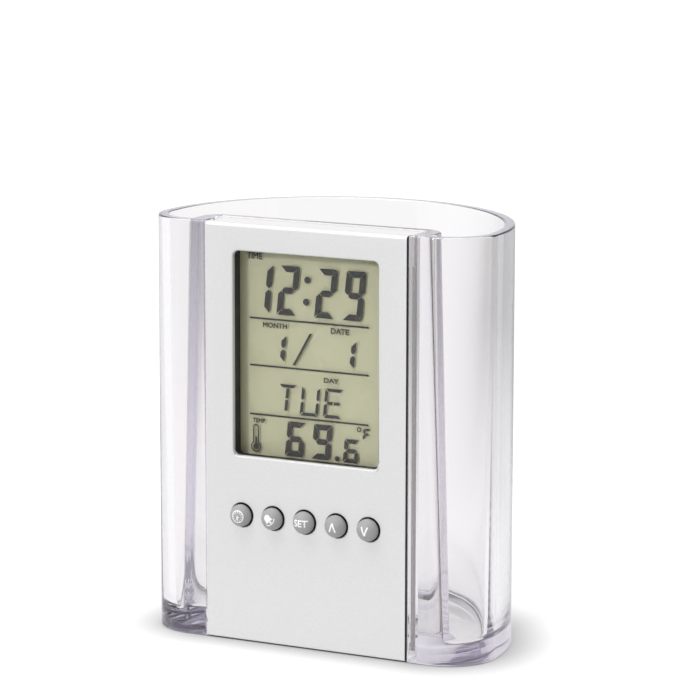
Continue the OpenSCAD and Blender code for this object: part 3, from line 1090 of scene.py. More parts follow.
class ShapeTree:
    """A Geometry Nodes tree with named inputs, turned into a plain mesh on demand."""

    def __init__(self, name: str, numbers: Sequence[str]) -> None:
        """Open a tree.

        Args:
            name: Name of the tree.
            numbers: Names of its number inputs.
        """
        self.tree = bpy.data.node_groups.new(name, "GeometryNodeTree")
        sockets = self.tree.interface
        sockets.new_socket("Geometry", in_out="INPUT", socket_type="NodeSocketGeometry")
        kinds = {**dict.fromkeys(numbers, "NodeSocketFloat"), "Material": "NodeSocketMaterial"}
        self.keys = {
            label: sockets.new_socket(label, in_out="INPUT", socket_type=kind).identifier
            for label, kind in kinds.items()
        }
        sockets.new_socket("Geometry", in_out="OUTPUT", socket_type="NodeSocketGeometry")
        self.bench = NodeBench(self.tree)
        self.given = self.bench.add("NodeGroupInput").outputs

    def vector(self, x: object, y: object, z: object) -> Socket:
        """Return a vector joined from three numbers or sockets."""
        return self.bench.add("ShaderNodeCombineXYZ", {0: x, 1: y, 2: z}).outputs[0]

    def moved(self, mesh: Socket, place: object, turn: Sequence[float] = (0, 0, 0)) -> Socket:
        """Return a mesh turned and then moved to a place."""
        values = {"Geometry": mesh, "Translation": place, "Rotation": turn}
        return self.bench.add("GeometryNodeTransform", values).outputs["Geometry"]

    def pin(self, radius: object, start: object, length: object, sides: int) -> Socket:
        """Return a round pin along the depth.

        Args:
            radius: Its radius.
            start: Depth at which it starts.
            length: Its length.
            sides: Number of facets around it.

        Returns:
            The pin's mesh.
        """
        values = {"Vertices": sides, "Radius": radius, "Depth": length}
        node = self.bench.add("GeometryNodeMeshCylinder", values)
        middle = self.bench.maths("ADD", start, self.bench.maths("MULTIPLY", length, 0.5))
        return self.moved(node.outputs["Mesh"], self.vector(0.0, middle, 0.0), (math.pi / 2, 0, 0))

    def merged(self, *parts: Socket) -> Socket:
        """Return several meshes as one, with points at the same place made one.

        Args:
            parts: The meshes.

        Returns:
            The merged mesh.
        """
        node = self.bench.add("GeometryNodeJoinGeometry")
        for part in parts:
            self.bench.feed(node.inputs[0], part)
        values = {"Geometry": node.outputs[0], "Distance": FINE_MERGE}
        return self.bench.add("GeometryNodeMergeByDistance", values).outputs[0]

    def united(self, *parts: Socket) -> Socket:
        """Return several closed meshes grown together.

        Args:
            parts: The meshes.

        Returns:
            One closed mesh.
        """
        node = self.bench.add("GeometryNodeMeshBoolean", operation="UNION", solver="EXACT")
        for part in parts:
            self.bench.feed(node.inputs[1], part)
        return node.outputs[0]

    def minus(self, whole: Socket, tool: Socket) -> Socket:
        """Return a mesh with a tool cut out of it."""
        values = {0: whole, 1: tool}
        return self.bench.add("GeometryNodeMeshBoolean", values, operation="DIFFERENCE",
                              solver="EXACT").outputs[0]

    def close(self, mesh: Socket) -> None:
        """End the tree in plain, dressed geometry, with a mesh at every point that the tree is given.

        Args:
            mesh: The mesh to repeat.
        """
        spots = {"Points": self.given["Geometry"], "Instance": mesh}
        repeated = self.bench.add("GeometryNodeInstanceOnPoints", spots)
        plain = self.bench.add("GeometryNodeRealizeInstances", {0: repeated.outputs[0]})
        coat = {"Geometry": plain.outputs[0], "Material": self.given["Material"]}
        dressed = self.bench.add("GeometryNodeSetMaterial", coat)
        self.bench.add("NodeGroupOutput", {0: dressed.outputs[0]})

    def make(self, name: str, places: Iterable[Vector], finish: Finish, **values: object) -> Piece:
        """Run the tree once.

        Args:
            name: Name of the new piece.
            places: Points that the tree starts from.
            finish: The piece's finish.
            values: The other named inputs, spaces written as underscores.

        Returns:
            The piece as a plain mesh, its faces outwards.
        """
        mesh = bpy.data.meshes.new(name)
        mesh.from_pydata(list(places), [], [])
        piece = new_piece(name, mesh)
        nodes = piece.modifiers.new("shape", "NODES")
        nodes.node_group = self.tree
        nodes[self.keys["Material"]] = finish.material()
        for label, value in values.items():
            nodes[self.keys[label.replace("_", " ")]] = value
        bake(piece)
        give(piece, finish)
        clean(piece.data)
        return piece


def post_tree() -> ShapeTree:
    """Set up drilled screw posts, one at each point, along the depth.

    Returns:
        Their tree.
    """
    tree = ShapeTree("screw_posts", ("Radius", "Bore", "Length"))
    through = tree.bench.maths("ADD", tree.given["Length"], 2 * OVER)
    bore = tree.pin(tree.given["Bore"], -OVER, through, 24)
    tree.close(tree.minus(tree.pin(tree.given["Radius"], 0.0, tree.given["Length"], 32), bore))
    return tree


def screw_tree() -> ShapeTree:
    """Set up small cross-slot screws, one at each point, pointing to the front.

    Returns:
        Their tree.
    """
    sunk_share, slot_share = 0.25, 1.4
    labels = ("Head Radius", "Head Height", "Shank Radius", "Shank Length", "Slot Width")
    tree = ShapeTree("cross_screws", labels)
    bench = tree.bench
    radius, height, shank_radius, shank_length, width = (tree.given[label] for label in labels)
    head = tree.pin(radius, 0.0, height, 40)
    sunk = bench.maths("MULTIPLY", height, sunk_share)
    shank = tree.pin(shank_radius, bench.maths("MULTIPLY", shank_length, -1.0),
                     bench.maths("ADD", shank_length, sunk), 24)
    reach = bench.maths("MULTIPLY", radius, slot_share)
    slots = []
    for along, across in ((reach, width), (width, reach)):
        slot = bench.add("GeometryNodeMeshCube", {"Size": tree.vector(along, height, across)})
        slots.append(tree.moved(slot.outputs["Mesh"], tree.vector(0.0, height, 0.0)))
    tree.close(tree.minus(tree.united(head, shank), tree.united(*slots)))
    return tree


def button_tree() -> ShapeTree:
    """Set up a push button: a spherical dome, its skirt, a flange and a plunger.

    Returns:
        Its tree.
    """
    rings, sides, sunk_share = 16, 64, 0.5
    labels = ("Radius", "Dome Height", "Skirt", "Flange Radius", "Flange Depth", "Plunger Radius",
              "Plunger Depth")
    tree = ShapeTree("push_button", labels)
    bench = tree.bench
    plus, times = partial(bench.maths, "ADD"), partial(bench.maths, "MULTIPLY")
    radius, rise, skirt, flange_radius, flange_depth, plunger_radius, plunger_depth = (
        tree.given[label] for label in labels)
    ball = bench.maths("DIVIDE", plus(times(radius, radius), times(rise, rise)), times(rise, 2.0))
    reach = bench.maths("ARCSINE", bench.maths("DIVIDE", radius, ball))
    counts = {"Size X": 1.0, "Size Y": 1.0, "Vertices X": rings + 1, "Vertices Y": sides + 1}
    sheet = bench.add("GeometryNodeMeshGrid", counts)
    place = bench.add("ShaderNodeSeparateXYZ", {0: bench.add("GeometryNodeInputPosition").outputs[0]})
    lean = times(plus(place.outputs[0], 0.5), reach)
    turn = times(plus(place.outputs[1], 0.5), FULL_TURN)
    out = times(ball, bench.maths("SINE", lean))
    back = times(ball, bench.maths("SUBTRACT", 1.0, bench.maths("COSINE", lean)))
    spot = tree.vector(times(out, bench.maths("COSINE", turn)), back, times(out, bench.maths("SINE", turn)))
    bent = bench.add("GeometryNodeSetPosition", {"Geometry": sheet.outputs["Mesh"], "Position": spot})
    beside = bench.add("GeometryNodeInputMeshEdgeNeighbors").outputs[0]
    rim = bench.add("FunctionNodeCompare", {2: beside, 3: 1}, data_type="INT", operation="EQUAL")
    sunk = plus(skirt, times(flange_depth, sunk_share))
    drawn = bench.add("GeometryNodeExtrudeMesh", {
        "Mesh": tree.merged(bent.outputs[0]),
        "Selection": rim.outputs[0],
        "Offset": tree.vector(0.0, sunk, 0.0),
        "Offset Scale": 1.0,
    }, mode="EDGES")
    disc = bench.add("GeometryNodeMeshCircle", {"Vertices": sides, "Radius": radius}, fill_type="NGON")
    foot_place = tree.vector(0.0, plus(rise, sunk), 0.0)
    foot = tree.moved(disc.outputs["Mesh"], foot_place, (-math.pi / 2, 0, 0))
    cap = tree.merged(drawn.outputs["Mesh"], foot)
    start = plus(rise, skirt)
    flange = tree.pin(flange_radius, start, flange_depth, 48)
    plunger = tree.pin(plunger_radius, start, plus(flange_depth, plunger_depth), 32)
    tree.close(tree.united(cap, flange, plunger))
    return tree


@dataclass
class ClearCup:
    """The clear cup: a D in plan, with a pocket for the clock across its flat front."""

    wall_rim: float = 2.8 * MM
    wall_low: float = 3.8 * MM
    floor: float = 5.0 * MM
    floor_round: float = 2.0 * MM
    pocket_half: float = 29.05 * MM
    pocket_depth: float = 10.3 * MM
    pocket_back: float = 2.4 * MM
    pocket_side_rim: float = 5.0 * MM
    pocket_side_low: float = 8.0 * MM
    groove_half: float = 29.95 * MM
    groove_front: float = 5.6 * MM
    groove_back: float = 8.0 * MM
    groove_foot: float = 2.2 * MM
    edge_round: float = 0.5 * MM
    groove_round: float = 0.12 * MM
    junction_round: float = 0.6 * MM
    back_corner: float = 5.0 * MM
    back_steps: int = 320
    corner_steps: int = 64
    nook_steps: int = 20
    foot_steps: int = 6
    draft_steps: int = 24
    low: Vector = field(init=False)
    high: Vector = field(init=False)
    radius: float = field(init=False)
    corner: float = field(init=False)
    axis_y: float = field(init=False)
    flat: float = field(init=False)

    def __post_init__(self) -> None:
        """Take the outside from the frame."""
        self.low, self.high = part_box("cup")
        self.radius = (self.high.x - self.low.x) / 2
        self.corner = (self.high.y - self.low.y) - self.radius
        self.axis_y = self.low.y + self.corner
        self.flat = self.radius - self.corner

    def back(self, inset: float) -> Outline:
        """Return the round back of the D at one inset, its last point left out."""
        return arc((0.0, self.axis_y), self.radius - inset, 0, 180, self.back_steps)[:-1]

    def ring(self, height: float) -> list[Vector]:
        """Follow the outside of the D.

        Args:
            height: Height of the outline.

        Returns:
            Its points.
        """
        plan = self.back(0.0)
        plan += arc((-self.flat, self.axis_y), self.corner, 180, 270, self.corner_steps)
        plan += arc((self.flat, self.axis_y), self.corner, 270, 360, self.corner_steps)[:-1]
        return [Vector((x, y, height)) for x, y in plan]

    def room(self, wall: float, side: float, grown: float, height: float) -> list[Vector]:
        """Return the pen room's outline at one height: the D within the walls, less the clock's pocket.

        Args:
            wall: Thickness of the outer wall.
            side: Thickness of the wall beside the pocket.
            grown: How far every wall is thicker here, as in the round foot.
            height: Height of the outline.

        Returns:
            The outline, with round corners beside and behind the pocket.
        """
        inset = wall + grown
        corner = self.corner - inset
        half = self.pocket_half + side + grown
        back = self.low.y + self.pocket_depth + self.pocket_back + grown
        fillet = self.junction_round
        turn = self.back_corner
        nook_x = -half - fillet
        beyond = min(nook_x + self.flat, 0.0)
        nook_y = self.axis_y - math.sqrt((corner - fillet) ** 2 - beyond ** 2)
        lean = 270 - math.degrees(math.asin(-beyond / (corner - fillet)))
        left = arc((-self.flat, self.axis_y), corner, 180, lean, self.corner_steps)[:-1]
        left += arc((nook_x, nook_y), fillet, lean, 360, self.nook_steps)
        left += arc((-half + turn, back - turn), turn, 180, 90, self.nook_steps)
        right = [(-x, y) for x, y in reversed(left)]
        return [Vector((x, y, height)) for x, y in self.back(inset) + left + right[:-1]]

    def block(self, half: float, depths: Point, heights: Point) -> Piece:
        """Return a plain block across the middle, to cut with.

        Args:
            half: Half its width.
            depths: Where it starts and ends behind the cup's front.
            heights: Where it starts and ends in height.

        Returns:
            The block.
        """
        y0, y1 = (self.low.y + depth for depth in depths)
        corners = ((-half, y0), (half, y0), (half, y1), (-half, y1))
        return solid_from("block", [[Vector((x, y, z)) for x, y in corners] for z in heights])

    def cavity(self) -> Piece:
        """Make the room for pens: drafted walls and a round foot on the floor.

        Returns:
            A solid to cut out of the cup.
        """
        foot = self.floor_round
        rise = self.high.z - self.floor
        bend = arc((foot, self.floor + foot), foot, 270, 180, self.foot_steps)
        rings = [self.room(self.wall_low, self.pocket_side_low, grown, z) for grown, z in bend]
        reach = (rise + OVER) / rise
        start = (self.wall_low, self.pocket_side_low, self.floor + foot)
        end = (between(self.wall_low, self.wall_rim, reach),
               between(self.pocket_side_low, self.pocket_side_rim, reach), self.high.z + OVER)
        for step in range(1, self.draft_steps + 1):
            wall, side, height = (between(a, b, step / self.draft_steps) for a, b in zip(start, end))
            rings.append(self.room(wall, side, 0.0, height))
        return solid_from("room", rings)

    def weight(self, edge: Edge) -> float:
        """Round the rim, the foot and the pocket's upright edges, and the grooves' edges less.

        Args:
            edge: An edge of the cup.

        Returns:
            Its weight.
        """
        if not is_sharp(edge):
            return 0.0
        margin = 0.1 * MM
        inner, outer = self.pocket_half - margin, self.groove_half + margin
        front, back = self.low.y + self.groove_front - margin, self.low.y + self.groove_back + margin
        points = [vert.co for vert in edge.verts]
        in_groove = all(inner < abs(point.x) < outer and front < point.y < back for point in points)
        return self.groove_round / self.edge_round if in_groove else 1.0

    def build(self) -> None:
        """Build the cup as one smooth clear piece."""
        top = self.high.z + OVER
        cup = solid_from("clear_cup", [self.ring(self.low.z), self.ring(self.high.z)])
        pocket = self.block(self.pocket_half, (-OVER, self.pocket_depth), (-OVER, top))
        grooves = self.block(self.groove_half, (self.groove_front, self.groove_back),
                             (self.groove_foot, top))
        cut(cup, self.cavity(), pocket, grooves)
        round_edges(cup, self.edge_round, self.weight, clamp=False)
        give(cup, FINISHES.cup)
        settle(cup, Body.CUP.value, "clear_acrylic", "cup")


@dataclass
class ButtonRow:
    """Five domed push buttons, each with its white print and its rubber dome behind."""

    radius: float = 2.9 * MM
    dome: float = 1.6 * MM
    flange_radius: float = 3.8 * MM
    flange_depth: float = 0.7 * MM
    flange_seat: float = 2.2 * MM
    plunger_radius: float = 1.4 * MM
    travel: float = 0.8 * MM
    edge_round: float = 0.2 * MM
    # Depth behind the tip from which each cap is black: painted shade of the gap around it.
    painted_shade_depth: float = 2.4 * MM
    print_room: float = 0.04 * MM
    print_lift: float = 0.015 * MM
    print_depth: float = 0.03 * MM
    print_reach: float = 0.2 * MM
    stroke: float = 0.42 * MM
    letter_height: float = 1.75 * MM
    letter_weight: float = 0.02

    def dial(self) -> list[Outline]:
        """Draw a clock dial: a ring, twelve ticks and two hands.

        Returns:
            The outlines to fill.
        """
        outer, inner, tick_foot, tick = 1.68 * MM, 1.46 * MM, 0.95 * MM, 0.15 * MM
        hand_top, hand_low = (0.08 * MM, 0.35 * MM), (0.26 * MM, -0.85 * MM)
        short_hand, short_start, short_end = 0.2 * MM, (0, 0.1 * MM), (0.6 * MM, -0.2 * MM)
        ticks, steps = 12, 48
        marks = band(arc((0, 0), outer, 0, 360, steps), arc((0, 0), inner, 0, 360, steps))
        for i in range(ticks):
            marks.append(turned(bar((0, tick_foot), (0, inner), tick), 360 / ticks * i))
        marks.append([(-hand_top[0], hand_top[1]), hand_top, hand_low, (-hand_low[0], hand_low[1])])
        marks.append(bar(short_start, short_end, short_hand))
        return marks

    def bell(self) -> list[Outline]:
        """Draw a swinging bell: its body, the clapper and the rim of its mouth.

        Returns:
            The outlines to fill.
        """
        foot, shoulder = (1.15 * MM, -0.4 * MM), (0.92 * MM, 0.1 * MM)
        crown, crown_y = 0.85 * MM, 0.75 * MM
        clapper, clapper_at = 0.3 * MM, (0.12 * MM, -0.75 * MM)
        mouth_y, mouth_lines = -0.5 * MM, ((1.5 * MM, 0.55), (1.22 * MM, 0.5))
        swing, steps, mouth_steps = 42, 14, 20
        body = [(-foot[0], foot[1]), foot, shoulder]
        body += arc((0.0, crown_y), crown, 0, 180, steps)
        body.append((-shoulder[0], shoulder[1]))
        lines = []
        for radius, flatness in mouth_lines:
            half = arc((0, 0), radius, 180, 360, mouth_steps)
            lines.append([(x, y * flatness + mouth_y) for x, y in half])
        marks = [body, arc(clapper_at, clapper, 0, 360, steps)[:-1], *band(*lines)]
        return [turned(outline, swing) for outline in marks]

    def arrow(self, way: int) -> list[Outline]:
        """Return an open arrow head.

        Args:
            way: 1 to point up, -1 to point down.

        Returns:
            Its two strokes.
        """
        half, rise = 0.85 * MM, 1.15 * MM
        tip = (0.0, way * rise)
        return [bar((side * half, -way * rise), tip, self.stroke) for side in (-1, 1)]

    def flat_print(self, name: str) -> Shape:
        """Return the flat print of one button.

        Args:
            name: Which button.

        Returns:
            The print in x and y, centred on the origin.
        """
        if name == "set":
            word = letters("set_print", "SET", self.letter_height, self.letter_weight)
            return fine_fill([], word, self.print_reach)
        outlines = {"clock": self.dial, "alarm": self.bell,
                    "up": partial(self.arrow, 1), "down": partial(self.arrow, -1)}[name]()
        return fine_fill(outlines, None, self.print_reach)

    def wrapped(self, name: str, centre: Vector) -> Piece:
        """Lay a button's print on its dome.

        Args:
            name: Which button.
            centre: Tip of its dome.

        Returns:
            The print as a thin closed piece.
        """
        shape = self.flat_print(name)
        ball = (self.radius ** 2 + self.dome ** 2) / (2 * self.dome)
        for vert in shape.verts:
            x, z = vert.co.x, vert.co.y
            sink = ball - math.sqrt(ball ** 2 - x ** 2 - z ** 2)
            vert.co = centre + Vector((x, sink - self.print_lift, z))
        return thin_print(f"print_{name}", shape, self.print_depth, FINISHES.mark)

    def spring(self, name: str) -> None:
        """Build the rubber dome behind a button.

        Args:
            name: Which button.
        """
        node = f"dome_{name}"
        dome = smooth(node_copy(f"rubber_{node}", node))
        give(dome, FINISHES.rubber)
        settle(dome, Body.CLOCK.value, "silicone_grey", node)
        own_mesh(dome)

    def weight(self, edge: Edge) -> float:
        """Round a button's outer edges and leave its inner corners sharp."""
        return sharp_weight(edge) if edge.is_convex else 0.0

    def build(self) -> None:
        """Build every button with its print and its dome."""
        tree = button_tree()
        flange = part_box("front_case")[0].y + self.flange_seat
        for name in BUTTONS:
            body = f"button_{name}"
            low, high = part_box(body)
            x, z = middle_of(low, high)
            tip = Vector((x, low.y + self.print_room, z))
            cap = tree.make(
                f"cap_{name}", [tip], FINISHES.button, Radius=self.radius, Dome_Height=self.dome,
                Skirt=flange - tip.y - self.dome, Flange_Radius=self.flange_radius,
                Flange_Depth=self.flange_depth, Plunger_Radius=self.plunger_radius,
                Plunger_Depth=high.y - flange - self.flange_depth,
            )
            # Painted shade: the cap's skirt and flange turn black, standing in for the shaded gap in the
            # hole.
            paint_shade_behind(cap, tip.y + self.painted_shade_depth, lambda face: True)
            round_edges(cap, self.edge_round, self.weight)
            settle(cap, body, "button_grey", body)
            settle(self.wrapped(name, tip), body, "button_grey")
            self.spring(name)


@dataclass
class ClockShell:
    """The two shells of the clock, the battery door and the screws that hold them."""

    depth: float = 3.0 * MM
    wall: float = 2.0 * MM
    side_wall: float = 1.6 * MM
    top_round: float = 0.9 * MM
    lip_round: float = 0.45 * MM
    face_round: float = 0.28 * MM
    cover_round: float = 0.15 * MM
    # Depth behind the front at which the window walls turn black: painted shade of the recess.
    window_shade_start: float = 1.1 * MM
    # Inset from the sides at which their painted shade starts.
    side_shade_reach: float = 0.35 * MM
    window_low: float = 49.3 * MM
    window_half: float = 20.8 * MM
    window_height: float = 53.5 * MM
    window_corner: float = 1.5 * MM
    hole_gap: float = 0.3 * MM
    post_radius: float = 1.75 * MM
    post_bore: float = 0.95 * MM
    post_tip: float = 7.6 * MM
    well_radius: float = 11.0 * MM
    well_wall: float = 1.2 * MM
    well_length: float = 5.9 * MM
    screw_radius: float = 1.6 * MM
    screw_head: float = 0.6 * MM
    screw_shank: float = 0.75 * MM
    screw_slot: float = 0.45 * MM
    screw_round: float = 0.06 * MM
    corner_steps: int = 8
    top_steps: int = 10
    hole_steps: int = 64
    low: Vector = field(init=False)
    high: Vector = field(init=False)
    front: float = field(init=False)
    window_top: float = field(init=False)

    def __post_init__(self) -> None:
        """Take the outside from the frame."""
        self.low, self.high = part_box("front_case")
        self.front = self.low.y
        self.window_top = self.window_low + self.window_height

    def plate(self, outline: Outline, start: float, end: float) -> Piece:
        """Return an outline in x and height, thickened between two depths."""
        rings = [[Vector((x, self.front + depth, z)) for x, z in outline] for depth in (start, end)]
        return solid_from("plate", rings)

    def window(self) -> Outline:
        """Follow the window with its round corners.

        Returns:
            Its outline in x and height.
        """
        radius = self.window_corner
        right, low, top = self.window_half - radius, self.window_low + radius, self.window_top - radius
        outline: Outline = []
        for x, z, start in ((right, low, 270), (right, top, 0), (-right, top, 90), (-right, low, 180)):
            outline += arc((x, z), radius, start, start + 90, self.corner_steps)
        return outline

    def hull(self) -> Piece:
        """Make the front shell's outside with its round top edge, hollowed from behind.

        Returns:
            The plain shell.
        """
        bend = (self.top_round, self.high.z - self.top_round)
        profile = [(self.depth, self.low.z), (self.depth, self.high.z)]
        profile += arc(bend, self.top_round, 90, 180, self.top_steps)
        profile.append((0.0, self.low.z))
        rings = [[Vector((x, self.front + d, z)) for d, z in profile] for x in (self.low.x, self.high.x)]
        left, right = self.low.x + self.side_wall, self.high.x - self.side_wall
        foot, top = self.low.z + self.side_wall, self.high.z - self.side_wall
        inside = [(left, foot), (right, foot), (right, top), (left, top)]
        hollow = self.plate(inside, self.wall, self.depth + OVER)
        return cut(solid_from("clock_face_shell", rings), hollow)

    def posts(self) -> list[Piece]:
        """Make the screw posts and the wall of the battery's well.

        Returns:
            The pieces that join the front shell.
        """
        tree = post_tree()
        start = self.front + self.wall
        tips = {"board_screws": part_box("circuit_board")[0].y, "case_screws": self.front + self.post_tip}
        made = []
        for node, tip in tips.items():
            places = [Vector((at.x, start, at.z)) for at in solid_centres(node)]
            made.append(tree.make("posts", places, FINISHES.silver, Radius=self.post_radius,
                                  Bore=self.post_bore, Length=tip - start))
        x, z = middle_of(*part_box("battery_cell"))
        outer = self.well_radius + self.well_wall
        made.append(tree.make("well", [Vector((x, start, z))], FINISHES.silver, Radius=outer,
                              Bore=self.well_radius, Length=self.well_length))
        return made

    def face(self) -> None:
        """Build the silver front shell, with painted shade: its window walls black behind a thin silver
        edge, and its sides black.
        """
        piece = self.hull()
        holes = [self.window()]
        for name in BUTTONS:
            middle = middle_of(*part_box(f"button_{name}"))
            holes.append(arc(middle, ButtonRow.radius + self.hole_gap, 0, 360, self.hole_steps)[:-1])
        cut(piece, *(self.plate(hole, -OVER, self.wall + OVER) for hole in holes))
        give(piece, FINISHES.silver)
        # Painted shade: the window walls turn black behind a thin silver edge.
        paint_shade_behind(piece, self.front + self.window_shade_start, self.is_window_wall)
        round_edges(piece, self.lip_round, self.weight, clamp=False)
        # Painted shade: the shell's sides turn black.
        self.paint_side_shade(piece)
        join_into(piece, *self.posts())
        settle(piece, Body.CLOCK.value, "silver_paint", "front_case")

    def in_window(self, point: Vector) -> bool:
        """Tell whether a point lies on the window's wall or inside it.

        Args:
            point: The point.

        Returns:
            Whether it does.
        """
        margin = 0.1 * MM
        across = abs(point.x) < self.window_half + margin
        return across and self.window_low - margin < point.z < self.window_top + margin

    def is_window_wall(self, face: Face) -> bool:
        """Tell whether a face stands in the window."""
        steep = 0.5
        return self.in_window(face.calc_center_median()) and abs(face.normal.y) < steep

    def weight(self, edge: Edge) -> float:
        """Give the window's front lip a full rounding and other sharp edges a smaller one.

        Args:
            edge: An edge of the shell.

        Returns:
            Its weight.
        """
        if not is_sharp(edge):
            return 0.0
        middle = (edge.verts[0].co + edge.verts[1].co) / 2
        lip = self.in_window(middle) and middle.y < self.front + self.face_round
        return 1.0 if lip else self.face_round / self.lip_round

    def paint_side_shade(self, piece: Piece) -> None:
        """Paint shade on the two sides: black from the middle of their rounded front edges on.

        Args:
            piece: The front shell, with black as its second material.
        """
        sideways = 0.6
        half = self.high.x - self.side_shade_reach
        for face in piece.data.polygons:
            if abs(face.center.x) > half and abs(face.normal.x) > sideways:
                face.material_index = 1

    def screws(self) -> None:
        """Build the four case screws with their cross slots."""
        low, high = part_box("case_screws")
        seat = high.y - self.screw_head
        places = [Vector((at.x, seat, at.z)) for at in solid_centres("case_screws")]
        piece = screw_tree().make(
            "case_screw_set", places, FINISHES.steel, Head_Radius=self.screw_radius,
            Head_Height=self.screw_head, Shank_Radius=self.screw_shank, Shank_Length=seat - low.y,
            Slot_Width=self.screw_slot,
        )
        round_edges(piece, self.screw_round, segments=2)
        settle(piece, Body.CLOCK.value, "steel", "case_screws")

    def moulding(self, name: str, node: str, finish: Finish, body: Body) -> None:
        """Build a piece that keeps its node's shape, with slightly rounded edges.

        Args:
            name: Name of the piece.
            node: The CAD node that it replaces.
            finish: Its finish.
            body: The body that it rides on.
        """
        piece = round_edges(node_copy(name, node), self.cover_round, segments=2)
        give(piece, finish)
        settle(piece, body.value, "case_grey", node)

    def build(self) -> None:
        """Build every piece of the shell."""
        self.face()
        self.moulding("clock_rear_cover", "rear_cover", FINISHES.shell, Body.CLOCK)
        self.moulding("battery_door_cap", "battery_door", FINISHES.door, Body.BATTERY_DOOR)
        self.screws()


@dataclass(frozen=True)
class Word:
    """One printed word of the display and the room that it fills, in millimetres."""

    text: str
    left: float
    right: float
    low: float
    high: float


@dataclass
class DisplayWords:
    """The small printed words of the display, in the plane of its figures."""

    thickness: float = 0.03 * MM
    weight: float = 0.03
    words: tuple[Word, ...] = (
        Word("TIME", -19.1, -14.7, 100.3, 101.8),
        Word("MONTH", -14.5, -7.5, 82.7, 83.95),
        Word("DATE", 5.1, 10.25, 82.55, 83.95),
        Word("DAY", 3.1, 7.4, 69.65, 70.85),
        Word("TEMP", -17.5, -13.9, 57.5, 58.6),
    )

    def build(self) -> None:
        """Build the words as one thin dark piece."""
        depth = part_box("lcd_segments")[0].y
        shape = bmesh.new()
        for word in self.words:
            mesh = letters(f"word_{word.text}", word.text, (word.high - word.low) * MM, self.weight)
            xs = [vert.co.x for vert in mesh.vertices]
            ys = [vert.co.y for vert in mesh.vertices]
            stretch = (word.right - word.left) * MM / (max(xs) - min(xs))
            middle, rise = (max(xs) + min(xs)) / 2, (max(ys) + min(ys)) / 2
            across, up = (word.left + word.right) / 2 * MM, (word.low + word.high) / 2 * MM
            for vert in mesh.vertices:
                x, y = vert.co.x - middle, vert.co.y - rise
                vert.co = Vector((across + x * stretch, depth, up + y))
            shape.from_mesh(mesh)
        piece = thin_print("display_words", shape, self.thickness, FINISHES.figures)
        settle(piece, Body.CLOCK.value, "display_dark")


